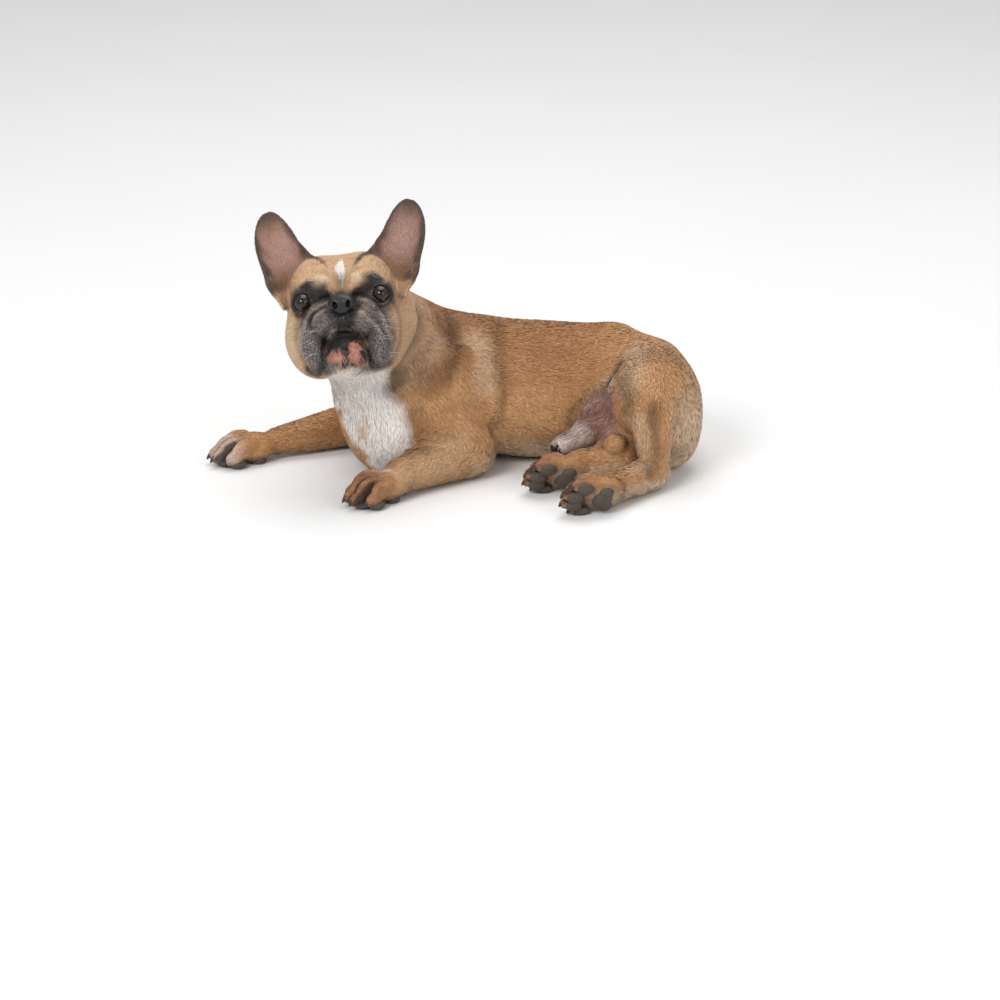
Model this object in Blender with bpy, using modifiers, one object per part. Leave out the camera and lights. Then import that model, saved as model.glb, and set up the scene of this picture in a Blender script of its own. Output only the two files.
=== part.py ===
"""A French bulldog lying down, life size: one closed solid for each named part of the body.

The dog rests on its breast and belly with its hindquarters rolled onto the right hip, its
forelegs stretched forward, its hind feet together in front of the belly, and its head turned
square to its left side. Each volume of flesh is an ellipsoid or a tapering round limb. They
are blended into one skin, flattened where they meet the ground, and parted by thin cuts.
Metres, +Z up, the ground at Z = 0, the head towards -X and the chest turned to -Y.
"""

import math
from dataclasses import dataclass

import bmesh
import bpy
import numpy as np
from mathutils import Matrix, Vector

# Driving sizes.
GAP = 0.0008  # between two parts of the body
VOXEL = 0.0022  # grain of the blended flesh before it is thinned out
WHOLE_VOXEL = 0.0019
TOE_VOXEL = 0.0014
EAR_VOXEL = 0.0015
EAR_KEPT = 0.018  # share of an ear's triangles kept
BODY_BLEND = 0.011  # radius that fills the creases between the large volumes
HEAD_BLEND = 0.004
TOE_BLEND = 0.0012
BODY_TRIANGLES = 4000
KEPT_AFTER_CUTS = 0.68  # share of the triangles kept once the seams are cut
EAR_LENGTH = 0.107
EAR_THICKNESS = 0.0050
EYE_RADIUS = 0.0118
PAW_SCALE = 1.04
HIND_FOOT_SCALE = 0.96

# The middle of the finished model's footprint, in the space in which the body is laid out.
FOOTPRINT_MIDDLE = Vector((-0.0036, -0.0602, 0.0))

HEAD_CENTRE = Vector((-0.1330, -0.0950, 0.2140))
HEAD_YAW = -0.5  # degrees towards -X from facing -Y
HEAD_PITCH = 19.0  # nose up
HEAD_ROLL = 6.0  # left ear up


# ---------------------------------------------------------------- frames and volumes


def turned(forward, up=(0.0, 0.0, 1.0)):
    """The rotation whose axes are forward, left and up."""
    forward = Vector(forward).normalized()
    left = Vector(up).cross(forward).normalized()
    up = forward.cross(left)
    return Matrix((forward, left, up)).transposed()


def head_rotation():
    yaw, pitch = math.radians(HEAD_YAW), math.radians(HEAD_PITCH)
    forward = Vector((-math.sin(yaw) * math.cos(pitch), -math.cos(yaw) * math.cos(pitch), math.sin(pitch)))
    return Matrix.Rotation(math.radians(HEAD_ROLL), 3, forward) @ turned(forward)


HEAD_TURN = head_rotation()


def from_head(x, y, z):
    """A point given as forward, left and up of the middle of the head."""
    return HEAD_CENTRE + HEAD_TURN @ Vector((x, y, z))


@dataclass(frozen=True)
class Ball:
    """An ellipsoid with its radii along the axes of its rotation."""

    centre: Vector
    radii: tuple
    turn: Matrix = Matrix.Identity(3)
    fineness: int = 4

    def add_to(self, bm, grow=0.0):
        size = Matrix.Diagonal([radius + grow for radius in self.radii] + [1.0])
        place = Matrix.Translation(Vector(self.centre)) @ self.turn.to_4x4() @ size
        bmesh.ops.create_icosphere(bm, subdivisions=self.fineness, radius=1.0, matrix=place)


@dataclass(frozen=True)
class Limb:
    """The hull round two balls: a tapering round limb."""

    start: Vector
    end: Vector
    start_radius: float
    end_radius: float
    fineness: int = 3

    def add_to(self, bm, grow=0.0):
        hull = bmesh.new()
        for centre, radius in ((self.start, self.start_radius), (self.end, self.end_radius)):
            bmesh.ops.create_icosphere(
                hull, subdivisions=self.fineness, radius=radius + grow, matrix=Matrix.Translation(Vector(centre))
            )
        bmesh.ops.delete(hull, geom=hull.edges[:], context="EDGES_FACES")
        result = bmesh.ops.convex_hull(hull, input=hull.verts[:])
        inner = {item for item in result["geom_interior"] if isinstance(item, bmesh.types.BMVert)}
        bmesh.ops.delete(hull, geom=list(inner), context="VERTS")
        mesh = bpy.data.meshes.new("limb")
        hull.to_mesh(mesh)
        hull.free()
        bm.from_mesh(mesh)
        bpy.data.meshes.remove(mesh)


@dataclass(frozen=True)
class Box:
    """A box from its lowest to its highest corner, in a turned frame at a point."""

    point: Vector
    low: tuple
    high: tuple
    turn: Matrix = Matrix.Identity(3)

    def add_to(self, bm, grow=0.0):
        low = Vector(self.low) - Vector((grow,) * 3)
        high = Vector(self.high) + Vector((grow,) * 3)
        middle = Matrix.Translation((low + high) / 2)
        size = Matrix.Diagonal([*(high - low), 1.0])
        place = Matrix.Translation(Vector(self.point)) @ self.turn.to_4x4() @ middle @ size
        bmesh.ops.create_cube(bm, size=1.0, matrix=place)


# ---------------------------------------------------------------- the anatomy


def trunk():
    """Rib cage, belly, loin, pelvis, rump, back, breast and neck."""
    breast_turn = turned((-0.766, -0.643, 0.1))
    return [
        Ball((0.000, 0.010, 0.088), (0.122, 0.088, 0.091), turned((0.86, 0.45, 0.0))),
        Ball((0.100, 0.022, 0.080), (0.130, 0.088, 0.084), turned((1.0, 0.12, 0.0))),
        Ball((0.180, 0.020, 0.080), (0.095, 0.076, 0.081), turned((1.0, -0.2, 0.0))),
        Ball((0.233, -0.008, 0.081), (0.063, 0.059, 0.077)),
        Ball((0.262, -0.040, 0.050), (0.042, 0.046, 0.052)),
        Limb((-0.020, 0.010, 0.136), (0.195, 0.017, 0.128), 0.046, 0.038),
        Limb((0.195, 0.017, 0.128), (0.236, 0.004, 0.108), 0.038, 0.047),
        Ball((-0.084, -0.047, 0.094), (0.061, 0.073, 0.073), breast_turn),
        Ball((-0.075, -0.054, 0.058), (0.062, 0.062, 0.061), breast_turn),
        Limb((-0.035, 0.002, 0.120), (-0.114, -0.047, 0.190), 0.074, 0.063),
        Limb((-0.095, -0.050, 0.120), (-0.118, -0.080, 0.172), 0.060, 0.052),
        Ball((-0.078, -0.070, 0.195), (0.036, 0.044, 0.050)),
    ]


def tail():
    """A short tail pressed to the back of the rump."""
    return [Limb((0.262, 0.030, 0.080), (0.290, 0.042, 0.058), 0.018, 0.011)]


def prepuce():
    return [Limb((0.172, -0.048, 0.052), (0.126, -0.078, 0.040), 0.017, 0.0115)]


def left_foreleg():
    return [
        Ball((-0.010, -0.060, 0.105), (0.050, 0.034, 0.070), turned((-0.8, -0.4, -0.3))),
        Limb((-0.035, -0.086, 0.088), (0.016, -0.072, 0.036), 0.038, 0.034),
        Limb((0.016, -0.070, 0.030), (-0.062, -0.140, 0.026), 0.033, 0.023),
    ]


def right_foreleg():
    return [
        Ball((-0.082, 0.028, 0.105), (0.050, 0.034, 0.068), turned((-0.8, -0.4, -0.3))),
        Limb((-0.094, 0.040, 0.088), (-0.088, 0.068, 0.038), 0.040, 0.036),
        Limb((-0.088, 0.066, 0.031), (-0.220, 0.001, 0.021), 0.033, 0.018),
    ]


def left_hind_leg():
    return [
        Ball((0.247, -0.060, 0.096), (0.060, 0.053, 0.056), turned((-0.4, -0.9, 0.1))),
        Limb((0.243, -0.104, 0.092), (0.242, -0.120, 0.036), 0.033, 0.0205),
        Limb((0.242, -0.122, 0.022), (0.184, -0.186, 0.022), 0.0215, 0.0185),
    ]


def right_hind_leg():
    return [
        Limb((0.215, -0.030, 0.050), (0.200, -0.085, 0.030), 0.050, 0.030),
        Limb((0.200, -0.090, 0.026), (0.150, -0.108, 0.025), 0.025, 0.020),
    ]


@dataclass(frozen=True)
class Foot:
    """A foot of four toes: its middle, where its toes point, and the way its back faces."""

    centre: tuple
    forward: tuple
    up: tuple
    scale: float

    def point(self, x, y, z):
        return Vector(self.centre) + turned(self.forward, self.up) @ (Vector((x, y, z)) * self.scale)

    def toes(self):
        """For each toe from left to right: how far forward, how far left, and its splay in degrees."""
        return ((0.008, 0.0185, 9.0), (0.020, 0.0065, 3.0), (0.020, -0.0065, -3.0), (0.008, -0.0185, -9.0))

    def volumes(self):
        turn = turned(self.forward, self.up)

        def ball(place, radii, splay=0.0, droop=0.0):
            lean = Matrix.Rotation(math.radians(splay), 3, "Z") @ Matrix.Rotation(math.radians(droop), 3, "Y")
            return Ball(self.point(*place), tuple(radius * self.scale for radius in radii), turn @ lean)

        found = [ball((-0.010, 0.0, 0.0), (0.028, 0.0225, 0.0175))]
        for ahead, left, splay in self.toes():
            found.append(ball((ahead - 0.004, left * 0.95, 0.004), (0.019, 0.0082, 0.0125), splay, 18.0))
            found.append(ball((ahead + 0.010, left * 1.05, -0.006), (0.0125, 0.0075, 0.0095), splay))
        return found

    def claws(self):
        found = []
        for ahead, left, _ in self.toes():
            root = self.point(ahead + 0.0160, left * 1.06, -0.0035)
            tip = self.point(ahead + 0.0250, left * 1.09, -0.0125)
            found.append(Limb(root, tip, 0.0032 * self.scale, 0.0012 * self.scale, 1))
        return found


FEET = {
    "forepaw_left": Foot((-0.093, -0.168, 0.0192), (-0.80, -0.60, 0.0), (0.0, 0.0, 1.0), PAW_SCALE),
    "forepaw_right": Foot((-0.263, -0.021, 0.0190), (-0.93, -0.36, 0.0), (0.0, 0.0, 1.0), PAW_SCALE),
    "hind_foot_left": Foot((0.165, -0.203, 0.0245), (-1.0, -0.30, 0.0), (0.2, 0.90, 0.35), HIND_FOOT_SCALE),
    "hind_foot_right": Foot((0.122, -0.128, 0.0247), (-0.95, -0.25, 0.0), (0.15, 0.85, 0.45), HIND_FOOT_SCALE),
}

CHIN = ((0.054, 0.0, -0.047), (0.033, 0.029, 0.029))
NOSE = ((0.077, 0.0, 0.0125), (0.0120, 0.0165, 0.0115))
EYE = (0.0465, 0.0468, 0.0190)


def head():
    """Skull, cheeks, brows, muzzle, hanging lips and eyelids. Paired volumes lie on both sides."""

    def single(place, radii):
        return Ball(from_head(*place), radii, HEAD_TURN)

    def pair(place, radii, tilt=0.0):
        found = []
        for side in (1, -1):
            lean = Matrix.Rotation(math.radians(side * tilt), 3, "X")
            found.append(Ball(from_head(place[0], side * place[1], place[2]), radii, HEAD_TURN @ lean))
        return found

    return [
        single((-0.012, 0.0, 0.0185), (0.066, 0.066, 0.0560)),
        *pair((-0.012, 0.028, 0.0220), (0.050, 0.036, 0.0525)),
        *pair((-0.002, 0.034, -0.024), (0.052, 0.041, 0.050)),
        *pair((0.026, 0.024, 0.024), (0.030, 0.032, 0.026)),
        single((0.050, 0.0, -0.010), (0.034, 0.040, 0.026)),
        *pair((0.050, 0.0400, -0.0355), (0.030, 0.0150, 0.0345), -8.0),
        *pair((0.064, 0.018, -0.012), (0.020, 0.020, 0.016)),
        single(*CHIN),
        *pair((0.0435, 0.0463, 0.0190), (0.0145, 0.0150, 0.0150)),
    ]


# ---------------------------------------------------------------- modelling tools


def new_object(name, mesh, collection):
    obj = bpy.data.objects.new(name, mesh)
    collection.objects.link(obj)
    return obj


def made_of(volumes, name, collection, grow=0.0):
    """One object holding the surfaces of these volumes."""
    bm = bmesh.new()
    for volume in volumes:
        volume.add_to(bm, grow)
    mesh = bpy.data.meshes.new(name)
    bm.to_mesh(mesh)
    bm.free()
    return new_object(name, mesh, collection)


def finish_modifiers(obj):
    """The object's mesh becomes what its modifiers make of it."""
    graph = bpy.context.evaluated_depsgraph_get()
    mesh = bpy.data.meshes.new_from_object(obj.evaluated_get(graph))
    obj.modifiers.clear()
    obj.data = mesh


def remesh(obj, voxel=VOXEL):
    step = obj.modifiers.new("Even grain", "REMESH")
    step.mode = "VOXEL"
    step.voxel_size = voxel


def swell(obj, distance):
    step = obj.modifiers.new("Swell", "DISPLACE")
    step.mid_level = 0.0
    step.strength = distance


def blended(volumes, name, collection, blend, voxel=VOXEL):
    """The volumes as one surface whose creases are filled to the radius of the blend."""
    obj = made_of(volumes, name, collection)
    remesh(obj, voxel)
    swell(obj, blend)
    remesh(obj, voxel)
    swell(obj, -blend)
    finish_modifiers(obj)
    return obj


def joined(objects, name, collection):
    bm = bmesh.new()
    for obj in objects:
        bm.from_mesh(obj.data)
        bpy.data.objects.remove(obj)
    mesh = bpy.data.meshes.new(name)
    bm.to_mesh(mesh)
    bm.free()
    return new_object(name, mesh, collection)


def combine(obj, other, operation):
    step = obj.modifiers.new(operation.title(), "BOOLEAN")
    step.operation = operation
    step.solver = "EXACT"
    step.object = other
    finish_modifiers(obj)


def as_cutter(obj):
    obj.hide_render = True
    obj.display_type = "WIRE"
    return obj


def cut_away(obj, volumes, cutters, grow=GAP):
    cutter = as_cutter(made_of(volumes, "cutter", cutters, grow))
    combine(obj, cutter, "DIFFERENCE")
    bpy.data.objects.remove(cutter)


def drop_crumbs(obj):
    """Keeps the largest of the object's loose bodies, without the flakes that a cut leaves along an edge."""
    bm = bmesh.new()
    bm.from_mesh(obj.data)
    left = set(bm.verts)
    bodies = []
    while left:
        body = {left.pop()}
        border = list(body)
        while border:
            vertex = border.pop()
            for other in {edge.other_vert(vertex) for edge in vertex.link_edges} & left:
                left.discard(other)
                body.add(other)
                border.append(other)
        bodies.append(body)
    bodies.sort(key=len)
    crumbs = [vertex for body in bodies[:-1] for vertex in body]
    bmesh.ops.delete(bm, geom=crumbs, context="VERTS")
    bm.to_mesh(obj.data)
    bm.free()


def taken_from(whole, name, region, body, cutters):
    """The part of the whole inside the region, as its own object. The whole keeps the rest, a gap away."""
    piece = new_object(name, whole.data.copy(), body)
    cutter = as_cutter(made_of([region], "region", cutters))
    combine(piece, cutter, "INTERSECT")
    bpy.data.objects.remove(cutter)
    cut_away(whole, [region], cutters)
    return piece


@dataclass(frozen=True)
class EarCarriage:
    """How far from the middle of the head an ear grows, and how far it leans outwards."""

    root: float
    lean: float


EARS = {1: EarCarriage(0.0550, 0.345), -1: EarCarriage(0.0500, 0.275)}  # the left ear, then the right


def ear_edges(along):
    """How far the inner and the outer edge of the ear lie from its middle line, from root (0) to tip (1)."""
    rounded = np.sqrt(np.clip(1 - np.clip((along - 0.28) / 0.725, 0, 1) ** 2.3, 0, 1))
    inner = 0.0275 * rounded + 0.012 * np.clip(1 - along / 0.55, 0, 1)
    outer = 0.0310 * rounded + 0.006 * np.exp(-(((along - 0.14) / 0.16) ** 2))
    return inner, outer


def ear(side, name, collection):
    """One ear: a sheet with a rounded tip, cupped about its length, given its thickness.

    Both edges close to the tip along a superellipse, and the root line slants down towards
    the outer side. The depth of the cup fades towards the tip.
    """
    along_steps, across_steps = 18, 12
    carriage = EARS[side]
    upward = Vector((-0.06, side * carriage.lean, 0.90)).normalized()
    facing = Vector((0.90, side * -0.12, 0.0))
    facing = (facing - upward * facing.dot(upward)).normalized()
    outward = upward.cross(facing)
    if outward.y * side < 0:
        outward = -outward

    bm = bmesh.new()
    bmesh.ops.create_grid(bm, x_segments=along_steps, y_segments=across_steps, size=1.0)
    mesh = bpy.data.meshes.new(name)
    bm.to_mesh(mesh)
    bm.free()
    flat = np.empty(len(mesh.vertices) * 3)
    mesh.vertices.foreach_get("co", flat)
    grid = flat.reshape(-1, 3)
    across = grid[:, 1]
    root_line = -0.08 - 0.14 * across
    along = root_line + (grid[:, 0] + 1) / 2 * (1 - root_line)
    inner, outer = ear_edges(along)
    sideways = np.where(across < 0, across * inner, across * outer)
    sideways += 0.004 * np.sin(np.clip(along, 0, 1) * math.pi)
    cup = 0.022 * (1 - 0.8 * np.clip(along, 0, 1))
    depth = cup * (sideways / 0.028) ** 2 - 0.008 * np.sin(np.clip(along, 0, 1) * 1.4)
    root = from_head(-0.010, side * carriage.root, 0.034)
    axes = [np.array(HEAD_TURN @ axis) for axis in (upward, outward, facing)]
    points = (
        np.array(root)
        + np.outer(along * EAR_LENGTH, axes[0])
        + np.outer(sideways, axes[1])
        + np.outer(depth, axes[2])
    )
    mesh.vertices.foreach_set("co", points.ravel())
    obj = new_object(name, mesh, collection)
    wall = obj.modifiers.new("Thickness", "SOLIDIFY")
    wall.thickness = EAR_THICKNESS
    wall.offset = 0.0
    remesh(obj, EAR_VOXEL)
    soften = obj.modifiers.new("Soften", "SMOOTH")
    soften.factor, soften.iterations = 0.5, 2
    thin = obj.modifiers.new("Thin out", "DECIMATE")
    thin.ratio = EAR_KEPT
    finish_modifiers(obj)
    return obj


# ---------------------------------------------------------------- finishes

FAWN, CREAM, MASK, EAR_SKIN, BLACK, EYE_BROWN = (
    (0.52, 0.29, 0.13),
    (0.72, 0.58, 0.44),
    (0.045, 0.040, 0.038),
    (0.20, 0.11, 0.10),
    (0.012, 0.010, 0.010),
    (0.020, 0.008, 0.004),
)


def dress(obj, colour, roughness):
    material = bpy.data.materials.new(obj.name + "_finish")
    material.use_nodes = True
    shader = material.node_tree.nodes["Principled BSDF"]
    shader.inputs["Base Color"].default_value = (*colour, 1.0)
    shader.inputs["Roughness"].default_value = roughness
    obj.data.materials.clear()
    obj.data.materials.append(material)
    obj.data.shade_smooth()


def finish_of(name):
    if name.startswith("claw") or name == "nose":
        return BLACK, 0.4
    if name.startswith("eye"):
        return EYE_BROWN, 0.1
    if name.startswith("ear"):
        return EAR_SKIN, 0.8
    if name == "lower_jaw":
        return MASK, 0.7
    return (CREAM if name == "chest" else FAWN), 0.85


# ---------------------------------------------------------------- the model


def regions():
    """Where each part of the flesh ends, from the feet inwards. Later parts take what is left."""
    foot_radii = (0.050, 0.042, 0.042)
    found = {}
    for name, foot in FEET.items():
        found[name] = Ball(foot.point(0.012, 0.0, 0.0), foot_radii, turned(foot.forward, foot.up), 2)
    found["forearm_left"] = Limb((-0.002, -0.086, 0.025), (-0.075, -0.150, 0.025), 0.040, 0.040, 2)
    found["forearm_right"] = Limb((-0.150, 0.037, 0.028), (-0.230, 0.000, 0.025), 0.045, 0.040, 2)
    found["upper_arm_left"] = Limb((-0.026, -0.098, 0.088), (0.014, -0.078, 0.030), 0.050, 0.050, 2)
    found["upper_arm_right"] = Limb((-0.110, 0.060, 0.080), (-0.100, 0.066, 0.025), 0.046, 0.052, 2)
    found["shank_left"] = Limb((0.238, -0.128, 0.045), (0.198, -0.168, 0.024), 0.040, 0.036, 2)
    found["shank_right"] = Limb((0.186, -0.096, 0.030), (0.146, -0.100, 0.028), 0.034, 0.034, 2)
    found["thigh_left"] = Ball((0.240, -0.094, 0.088), (0.062, 0.060, 0.070), Matrix.Identity(3), 3)
    found["thigh_right"] = Limb((0.205, -0.078, 0.010), (0.205, -0.070, 0.030), 0.046, 0.040, 2)
    found["tail"] = Limb((0.287, 0.045, 0.068), (0.310, 0.052, 0.050), 0.019, 0.022, 2)
    head_turn = turned((-0.034, -0.960, 0.120))
    found["head"] = Box(HEAD_CENTRE, (-0.052, -0.125, -0.066), (0.130, 0.125, 0.110), head_turn)
    neck_turn = turned((1.0, 0.0, 0.449), (-0.40, -0.22, 0.89))
    found["neck"] = Box((-0.062, -0.020, 0.146), (-0.180, -0.160, 0.0), (0.180, 0.160, 0.200), neck_turn)
    found["hindquarters"] = Box((0.160, 0.030, 0.0), (0.0, -0.300, -0.010), (0.300, 0.300, 0.300))
    found["abdomen"] = Box((0.062, 0.020, 0.0), (0.0, -0.300, -0.010), (0.300, 0.300, 0.300))
    return found


def main():
    for obj in list(bpy.data.objects):
        bpy.data.objects.remove(obj)
    body = bpy.data.collections.new("french_bulldog")
    cutters = bpy.data.collections.new("cutters")
    bpy.context.scene.collection.children.link(body)
    bpy.context.scene.collection.children.link(cutters)

    flesh = [*trunk(), *tail(), *prepuce(), *left_foreleg(), *right_foreleg(), *left_hind_leg(), *right_hind_leg()]
    pieces = [
        blended(flesh, "body_flesh", cutters, BODY_BLEND),
        blended(head(), "head_flesh", cutters, HEAD_BLEND),
    ]
    for name, foot in FEET.items():
        pieces.append(blended(foot.volumes(), name + "_flesh", cutters, TOE_BLEND, TOE_VOXEL))
    whole = joined(pieces, "chest", body)
    remesh(whole, WHOLE_VOXEL)
    soften = whole.modifiers.new("Soften", "SMOOTH")
    soften.factor, soften.iterations = 0.5, 3
    finish_modifiers(whole)
    whole.data.calc_loop_triangles()
    thin = whole.modifiers.new("Thin out", "DECIMATE")
    thin.ratio = BODY_TRIANGLES / len(whole.data.loop_triangles)
    finish_modifiers(whole)

    solids = {}
    ground = Box((0.0, 0.0, 0.0), (-0.6, -0.6, -0.2), (0.6, 0.6, 0.0))
    for side, word in ((1, "left"), (-1, "right")):
        solids["ear_" + word] = ear(side, "ear_" + word, body)
        head_round = new_object("head_round", whole.data.copy(), cutters)
        swell(head_round, GAP)
        finish_modifiers(head_round)
        as_cutter(head_round)
        combine(solids["ear_" + word], head_round, "DIFFERENCE")
        bpy.data.objects.remove(head_round)

    fitted = {"lower_jaw": Ball(from_head(*CHIN[0]), CHIN[1], HEAD_TURN, 3)}
    fitted["nose"] = Ball(from_head(*NOSE[0]), NOSE[1], HEAD_TURN, 3)
    for side, word in ((1, "left"), (-1, "right")):
        eye_centre = from_head(EYE[0], side * EYE[1], EYE[2])
        fitted["eye_" + word] = Ball(eye_centre, (EYE_RADIUS,) * 3, HEAD_TURN, 3)
    for name, foot in FEET.items():
        for number, claw in enumerate(foot.claws(), 1):
            fitted[f"claw_{name.replace('_foot', '')}_{number}"] = claw
    for name, volume in fitted.items():
        solids[name] = made_of([volume], name, body)
        cut_away(whole, [volume], cutters)

    for name, region in regions().items():
        solids[name] = taken_from(whole, name, region, body, cutters)
    solids["chest"] = whole

    for name, obj in solids.items():
        drop_crumbs(obj)
        if name not in fitted:
            thin = obj.modifiers.new("Thin out", "DECIMATE")
            thin.ratio = KEPT_AFTER_CUTS
            finish_modifiers(obj)
            cut_away(obj, [ground], cutters, 0.0)
            drop_crumbs(obj)
        obj.data.transform(Matrix.Translation(-FOOTPRINT_MIDDLE))
        dress(obj, *finish_of(name))


if __name__ == "__main__":
    main()
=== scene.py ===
"""The looks of a life-size French bulldog, lying with its head turned to the viewer.

One skin replaces the solids of flesh. It is the surface of a distance field: ellipsoids and
round limbs joined softly, with folds pressed into it. A short coat of solid tufts lies over
it, following the lie of the hair. Eyes, nose, claws and whiskers are pieces of their own.
Lengths are in metres. The anatomy is laid out in its own space, and SHIFT moves it to the
frame's.
"""

import logging
import math
from dataclasses import dataclass, field
from enum import Enum
from typing import Protocol, Sequence

import bpy
import numpy as np
from mathutils import Matrix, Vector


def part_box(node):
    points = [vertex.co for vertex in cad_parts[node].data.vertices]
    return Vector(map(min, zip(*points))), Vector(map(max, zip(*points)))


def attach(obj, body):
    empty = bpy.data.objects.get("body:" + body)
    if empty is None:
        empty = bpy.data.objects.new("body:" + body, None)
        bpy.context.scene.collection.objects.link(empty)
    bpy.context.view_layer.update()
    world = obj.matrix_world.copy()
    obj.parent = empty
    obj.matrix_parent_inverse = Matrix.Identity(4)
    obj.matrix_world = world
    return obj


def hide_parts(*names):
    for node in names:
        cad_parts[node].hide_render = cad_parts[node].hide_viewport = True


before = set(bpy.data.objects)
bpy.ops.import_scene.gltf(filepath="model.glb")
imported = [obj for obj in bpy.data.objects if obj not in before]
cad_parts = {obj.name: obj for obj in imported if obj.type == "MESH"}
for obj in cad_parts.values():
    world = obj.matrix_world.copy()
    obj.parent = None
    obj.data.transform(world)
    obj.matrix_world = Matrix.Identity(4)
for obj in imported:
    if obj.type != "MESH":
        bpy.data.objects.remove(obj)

log = logging.getLogger("french_bulldog")
Array = np.ndarray
Point = tuple[float, float, float]
SIDES = {"left": 1, "right": -1}
BODY_COAT, HEAD_COAT, FOOT_COAT = 0.002, 0.0014, 0.0008  # how deep the coat lies over the skin
SEED = 7
PATCH = 0.003  # how wide one tuft's patch of the map is


# ------------------------------------------------------------------ vectors and smooth noise


def unit(vectors: Array | Sequence[float]) -> Array:
    """Returns the vectors at length one."""
    vectors = np.asarray(vectors, float)
    return vectors / np.maximum(np.linalg.norm(vectors, axis=-1, keepdims=True), 1e-12)


def turned(forward: Sequence[float], up: Sequence[float] = (0.0, 0.0, 1.0)) -> Array:
    """Returns the rotation whose columns are forward, left and up."""
    ahead = unit(forward)
    left = unit(np.cross(np.asarray(up, float), ahead))
    return np.stack([ahead, left, np.cross(ahead, left)], 1)


def spin(axis: Sequence[float], degrees: float) -> Array:
    """Returns the rotation about an axis, by Rodrigues' formula."""
    x, y, z = unit(axis)
    angle = math.radians(degrees)
    cross = np.array([[0, -z, y], [z, 0, -x], [-y, x, 0]])
    return np.eye(3) + math.sin(angle) * cross + (1 - math.cos(angle)) * cross @ cross


def ease(values: Array, low: float, high: float) -> Array:
    """Returns 0 below low and 1 above high, with a smooth step between. Low may be the greater."""
    t = np.clip((values - low) / (high - low), 0.0, 1.0)
    return t * t * (3 - 2 * t)


def soft_min(a: Array, b: Array, softness: float) -> Array:
    """Returns the lesser of two distances, rounded where they are within the softness of each other."""
    if softness <= 0:
        return np.minimum(a, b)
    near = np.maximum(softness - np.abs(a - b), 0.0) / softness
    return np.minimum(a, b) - near * near * softness / 4


@dataclass(frozen=True)
class Ripple:
    """Smooth noise: the mean of sine waves that run in random directions."""

    wavelength: float
    seed: int
    waves: int = 14

    def __call__(self, points: Array) -> Array:
        """Returns a value of about -1 to 1 at each point."""
        rng = np.random.default_rng(self.seed)
        heading = unit(rng.normal(size=(self.waves, 3))) * rng.uniform(0.6, 1.6, (self.waves, 1))
        phase = rng.uniform(0, 2 * math.pi, self.waves)
        total = np.zeros(len(points))
        for direction, start in zip(heading * (2 * math.pi / self.wavelength), phase):
            total += np.sin(points @ direction + start)
        return total / math.sqrt(self.waves) * 0.8


# ------------------------------------------------------------------ volumes of flesh


class Volume(Protocol):
    """A shape with a signed distance, negative inside."""

    def box(self) -> tuple[Array, Array]:
        """Returns the lowest and highest corners that hold the shape."""

    def distance(self, points: Array) -> Array:
        """Returns the distance of each point from the shape's surface."""


@dataclass(frozen=True)
class Ellipsoid:
    """An ellipsoid with its radii along the columns of its rotation."""

    centre: Sequence[float]
    radii: Sequence[float]
    turn: Array = field(default_factory=lambda: np.eye(3))

    def box(self) -> tuple[Array, Array]:
        """Returns the ellipsoid's box."""
        reach = np.sqrt(((self.turn * np.asarray(self.radii)) ** 2).sum(1))
        return np.asarray(self.centre) - reach, np.asarray(self.centre) + reach

    def distance(self, points: Array) -> Array:
        """Returns the scaled radius less one, divided by its own gradient."""
        local = (points - np.asarray(self.centre)) @ self.turn
        radii = np.asarray(self.radii)
        reach = np.sqrt(((local / radii) ** 2).sum(-1))
        slope = np.sqrt(((local / radii**2) ** 2).sum(-1)) + 1e-9
        return np.where(reach < 1e-6, -radii.min(), reach * (reach - 1) / slope)


@dataclass(frozen=True)
class RoundLimb:
    """The hull of two balls: a limb that tapers."""

    start: Sequence[float]
    end: Sequence[float]
    start_radius: float
    end_radius: float

    def box(self) -> tuple[Array, Array]:
        """Returns the limb's box."""
        ends = np.array([self.start, self.end])
        radii = np.array([[self.start_radius], [self.end_radius]])
        return (ends - radii).min(0), (ends + radii).max(0)

    def distance(self, points: Array) -> Array:
        """Returns the distance to the axis less the radius, which changes evenly along it."""
        start, end = np.asarray(self.start, float), np.asarray(self.end, float)
        axis = end - start
        length = np.linalg.norm(axis)
        slope = np.clip((self.start_radius - self.end_radius) / length, -0.95, 0.95)
        rel = points - start
        along = rel @ (axis / length)
        off = np.sqrt(np.maximum((rel**2).sum(-1) - along**2, 0.0))
        t = np.clip((along + off * slope / math.sqrt(1 - slope**2)) / length, 0.0, 1.0)
        nearest = rel - t[..., None] * axis
        radius = self.start_radius + t * (self.end_radius - self.start_radius)
        return np.sqrt((nearest**2).sum(-1)) - radius


@dataclass(frozen=True)
class Fold:
    """A line on the skin, as a chain of points. Its distance is that of the chain."""

    points: Array

    def box(self) -> tuple[Array, Array]:
        """Returns the box of the chain."""
        return self.points.min(0), self.points.max(0)

    def distance(self, points: Array) -> Array:
        """Returns the least distance to the chain's segments."""
        best = np.full(points.shape[:-1], np.inf)
        for start, end in zip(self.points[:-1], self.points[1:]):
            axis = end - start
            t = np.clip((points - start) @ axis / (axis @ axis), 0, 1)
            best = np.minimum(best, np.sqrt(((points - start - t[..., None] * axis) ** 2).sum(-1)))
        return best


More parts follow.
